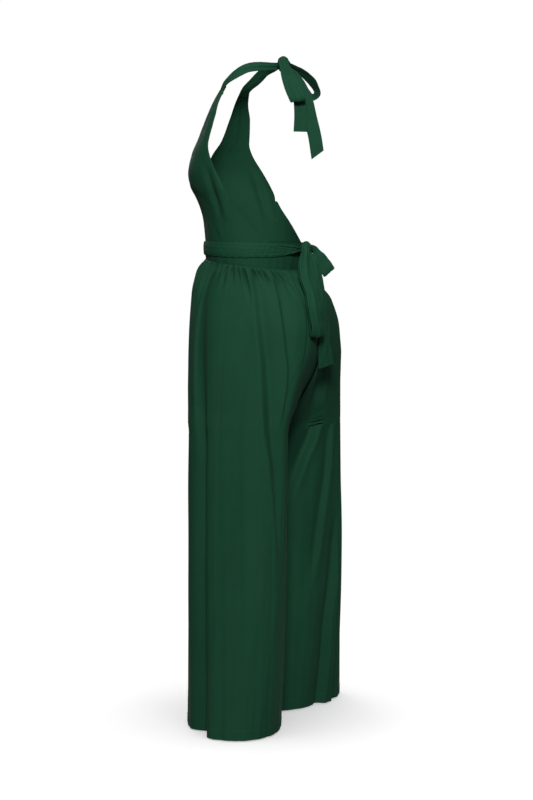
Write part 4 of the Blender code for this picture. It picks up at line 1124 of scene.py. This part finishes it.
world = bpy.data.worlds.new("studio")
scene.world = world
world.use_nodes = True
wn = world.node_tree.nodes
wl = world.node_tree.links
bg = wn["Background"]
bg.inputs["Color"].default_value = (1.0, 1.0, 1.0, 1.0)
bg.inputs["Strength"].default_value = 0.04
seen = wn.new("ShaderNodeBackground")
seen.inputs["Color"].default_value = (1.0, 1.0, 1.0, 1.0)
seen.inputs["Strength"].default_value = 1.0
path_node = wn.new("ShaderNodeLightPath")
mixer = wn.new("ShaderNodeMixShader")
wl.new(path_node.outputs["Is Camera Ray"], mixer.inputs["Fac"])
wl.new(bg.outputs[0], mixer.inputs[1])
wl.new(seen.outputs[0], mixer.inputs[2])
wl.new(mixer.outputs[0], wn["World Output"].inputs["Surface"])


def softbox(name, at, target, size, power):
    data = bpy.data.lights.new(name, "AREA")
    data.shape = "RECTANGLE"
    data.size, data.size_y = size
    data.energy = power
    data.color = (1.0, 1.0, 1.0)
    obj = bpy.data.objects.new(name, data)
    obj.location = at
    obj.rotation_euler = (Vector(target) - Vector(at)).to_track_quat("-Z", "Y").to_euler()
    obj.visible_camera = False
    scene.collection.objects.link(obj)


# the key, fill and front are flagged off the floor, as with studio cards
lit = bpy.data.collections.new("lit_cloth")
for o in list(made.values()) + list(stitch_of.values()):
    lit.objects.link(o)
softbox("key", (3.35, 1.35, 1.40), (0, 0, -0.62), (0.8, 0.8), 520.0)
softbox("fill", (0.9, 3.7, 0.9), (0, 0, -0.5), (1.2, 1.6), 32.0)
softbox("front", (-2.4, -3.2, 1.0), (0, 0, -0.6), (1.6, 1.6), 60.0)
for n in ("key", "fill", "front"):
    bpy.data.objects[n].light_linking.receiver_collection = lit
softbox("top", (0.0, 0.0, 3.3), (0, 0, -1.4), (2.6, 2.6), 190.0)

TURN = math.radians(22.0)
camera_data = bpy.data.cameras.new("camera")
camera_data.lens = 84.87
camera_data.sensor_width = 36.0
camera_data.sensor_fit = "AUTO"
camera_data.clip_end = 60.0
camera = bpy.data.objects.new("camera", camera_data)
scene.collection.objects.link(camera)
yaw = math.atan(11.2 / 1886.0)
pitch = math.atan(185.0 / 1886.0)
level = Vector((-math.cos(TURN), -math.sin(TURN), 0.0))
side_dir = Vector((-math.sin(TURN), math.cos(TURN), 0.0))
ahead = level * math.cos(yaw) + side_dir * math.sin(yaw)
ahead = ahead * math.cos(pitch) + Vector((0, 0, -1)) * math.sin(pitch)
camera.location = (math.cos(TURN) * 4.19, math.sin(TURN) * 4.19 - NAPE_BACK, -0.323)
camera.rotation_euler = ahead.to_track_quat("-Z", "Y").to_euler()
scene.camera = camera

scene.view_settings.view_transform = "Standard"
scene.view_settings.look = "None"
scene.view_settings.exposure = 0.0
scene.view_settings.gamma = 1.0
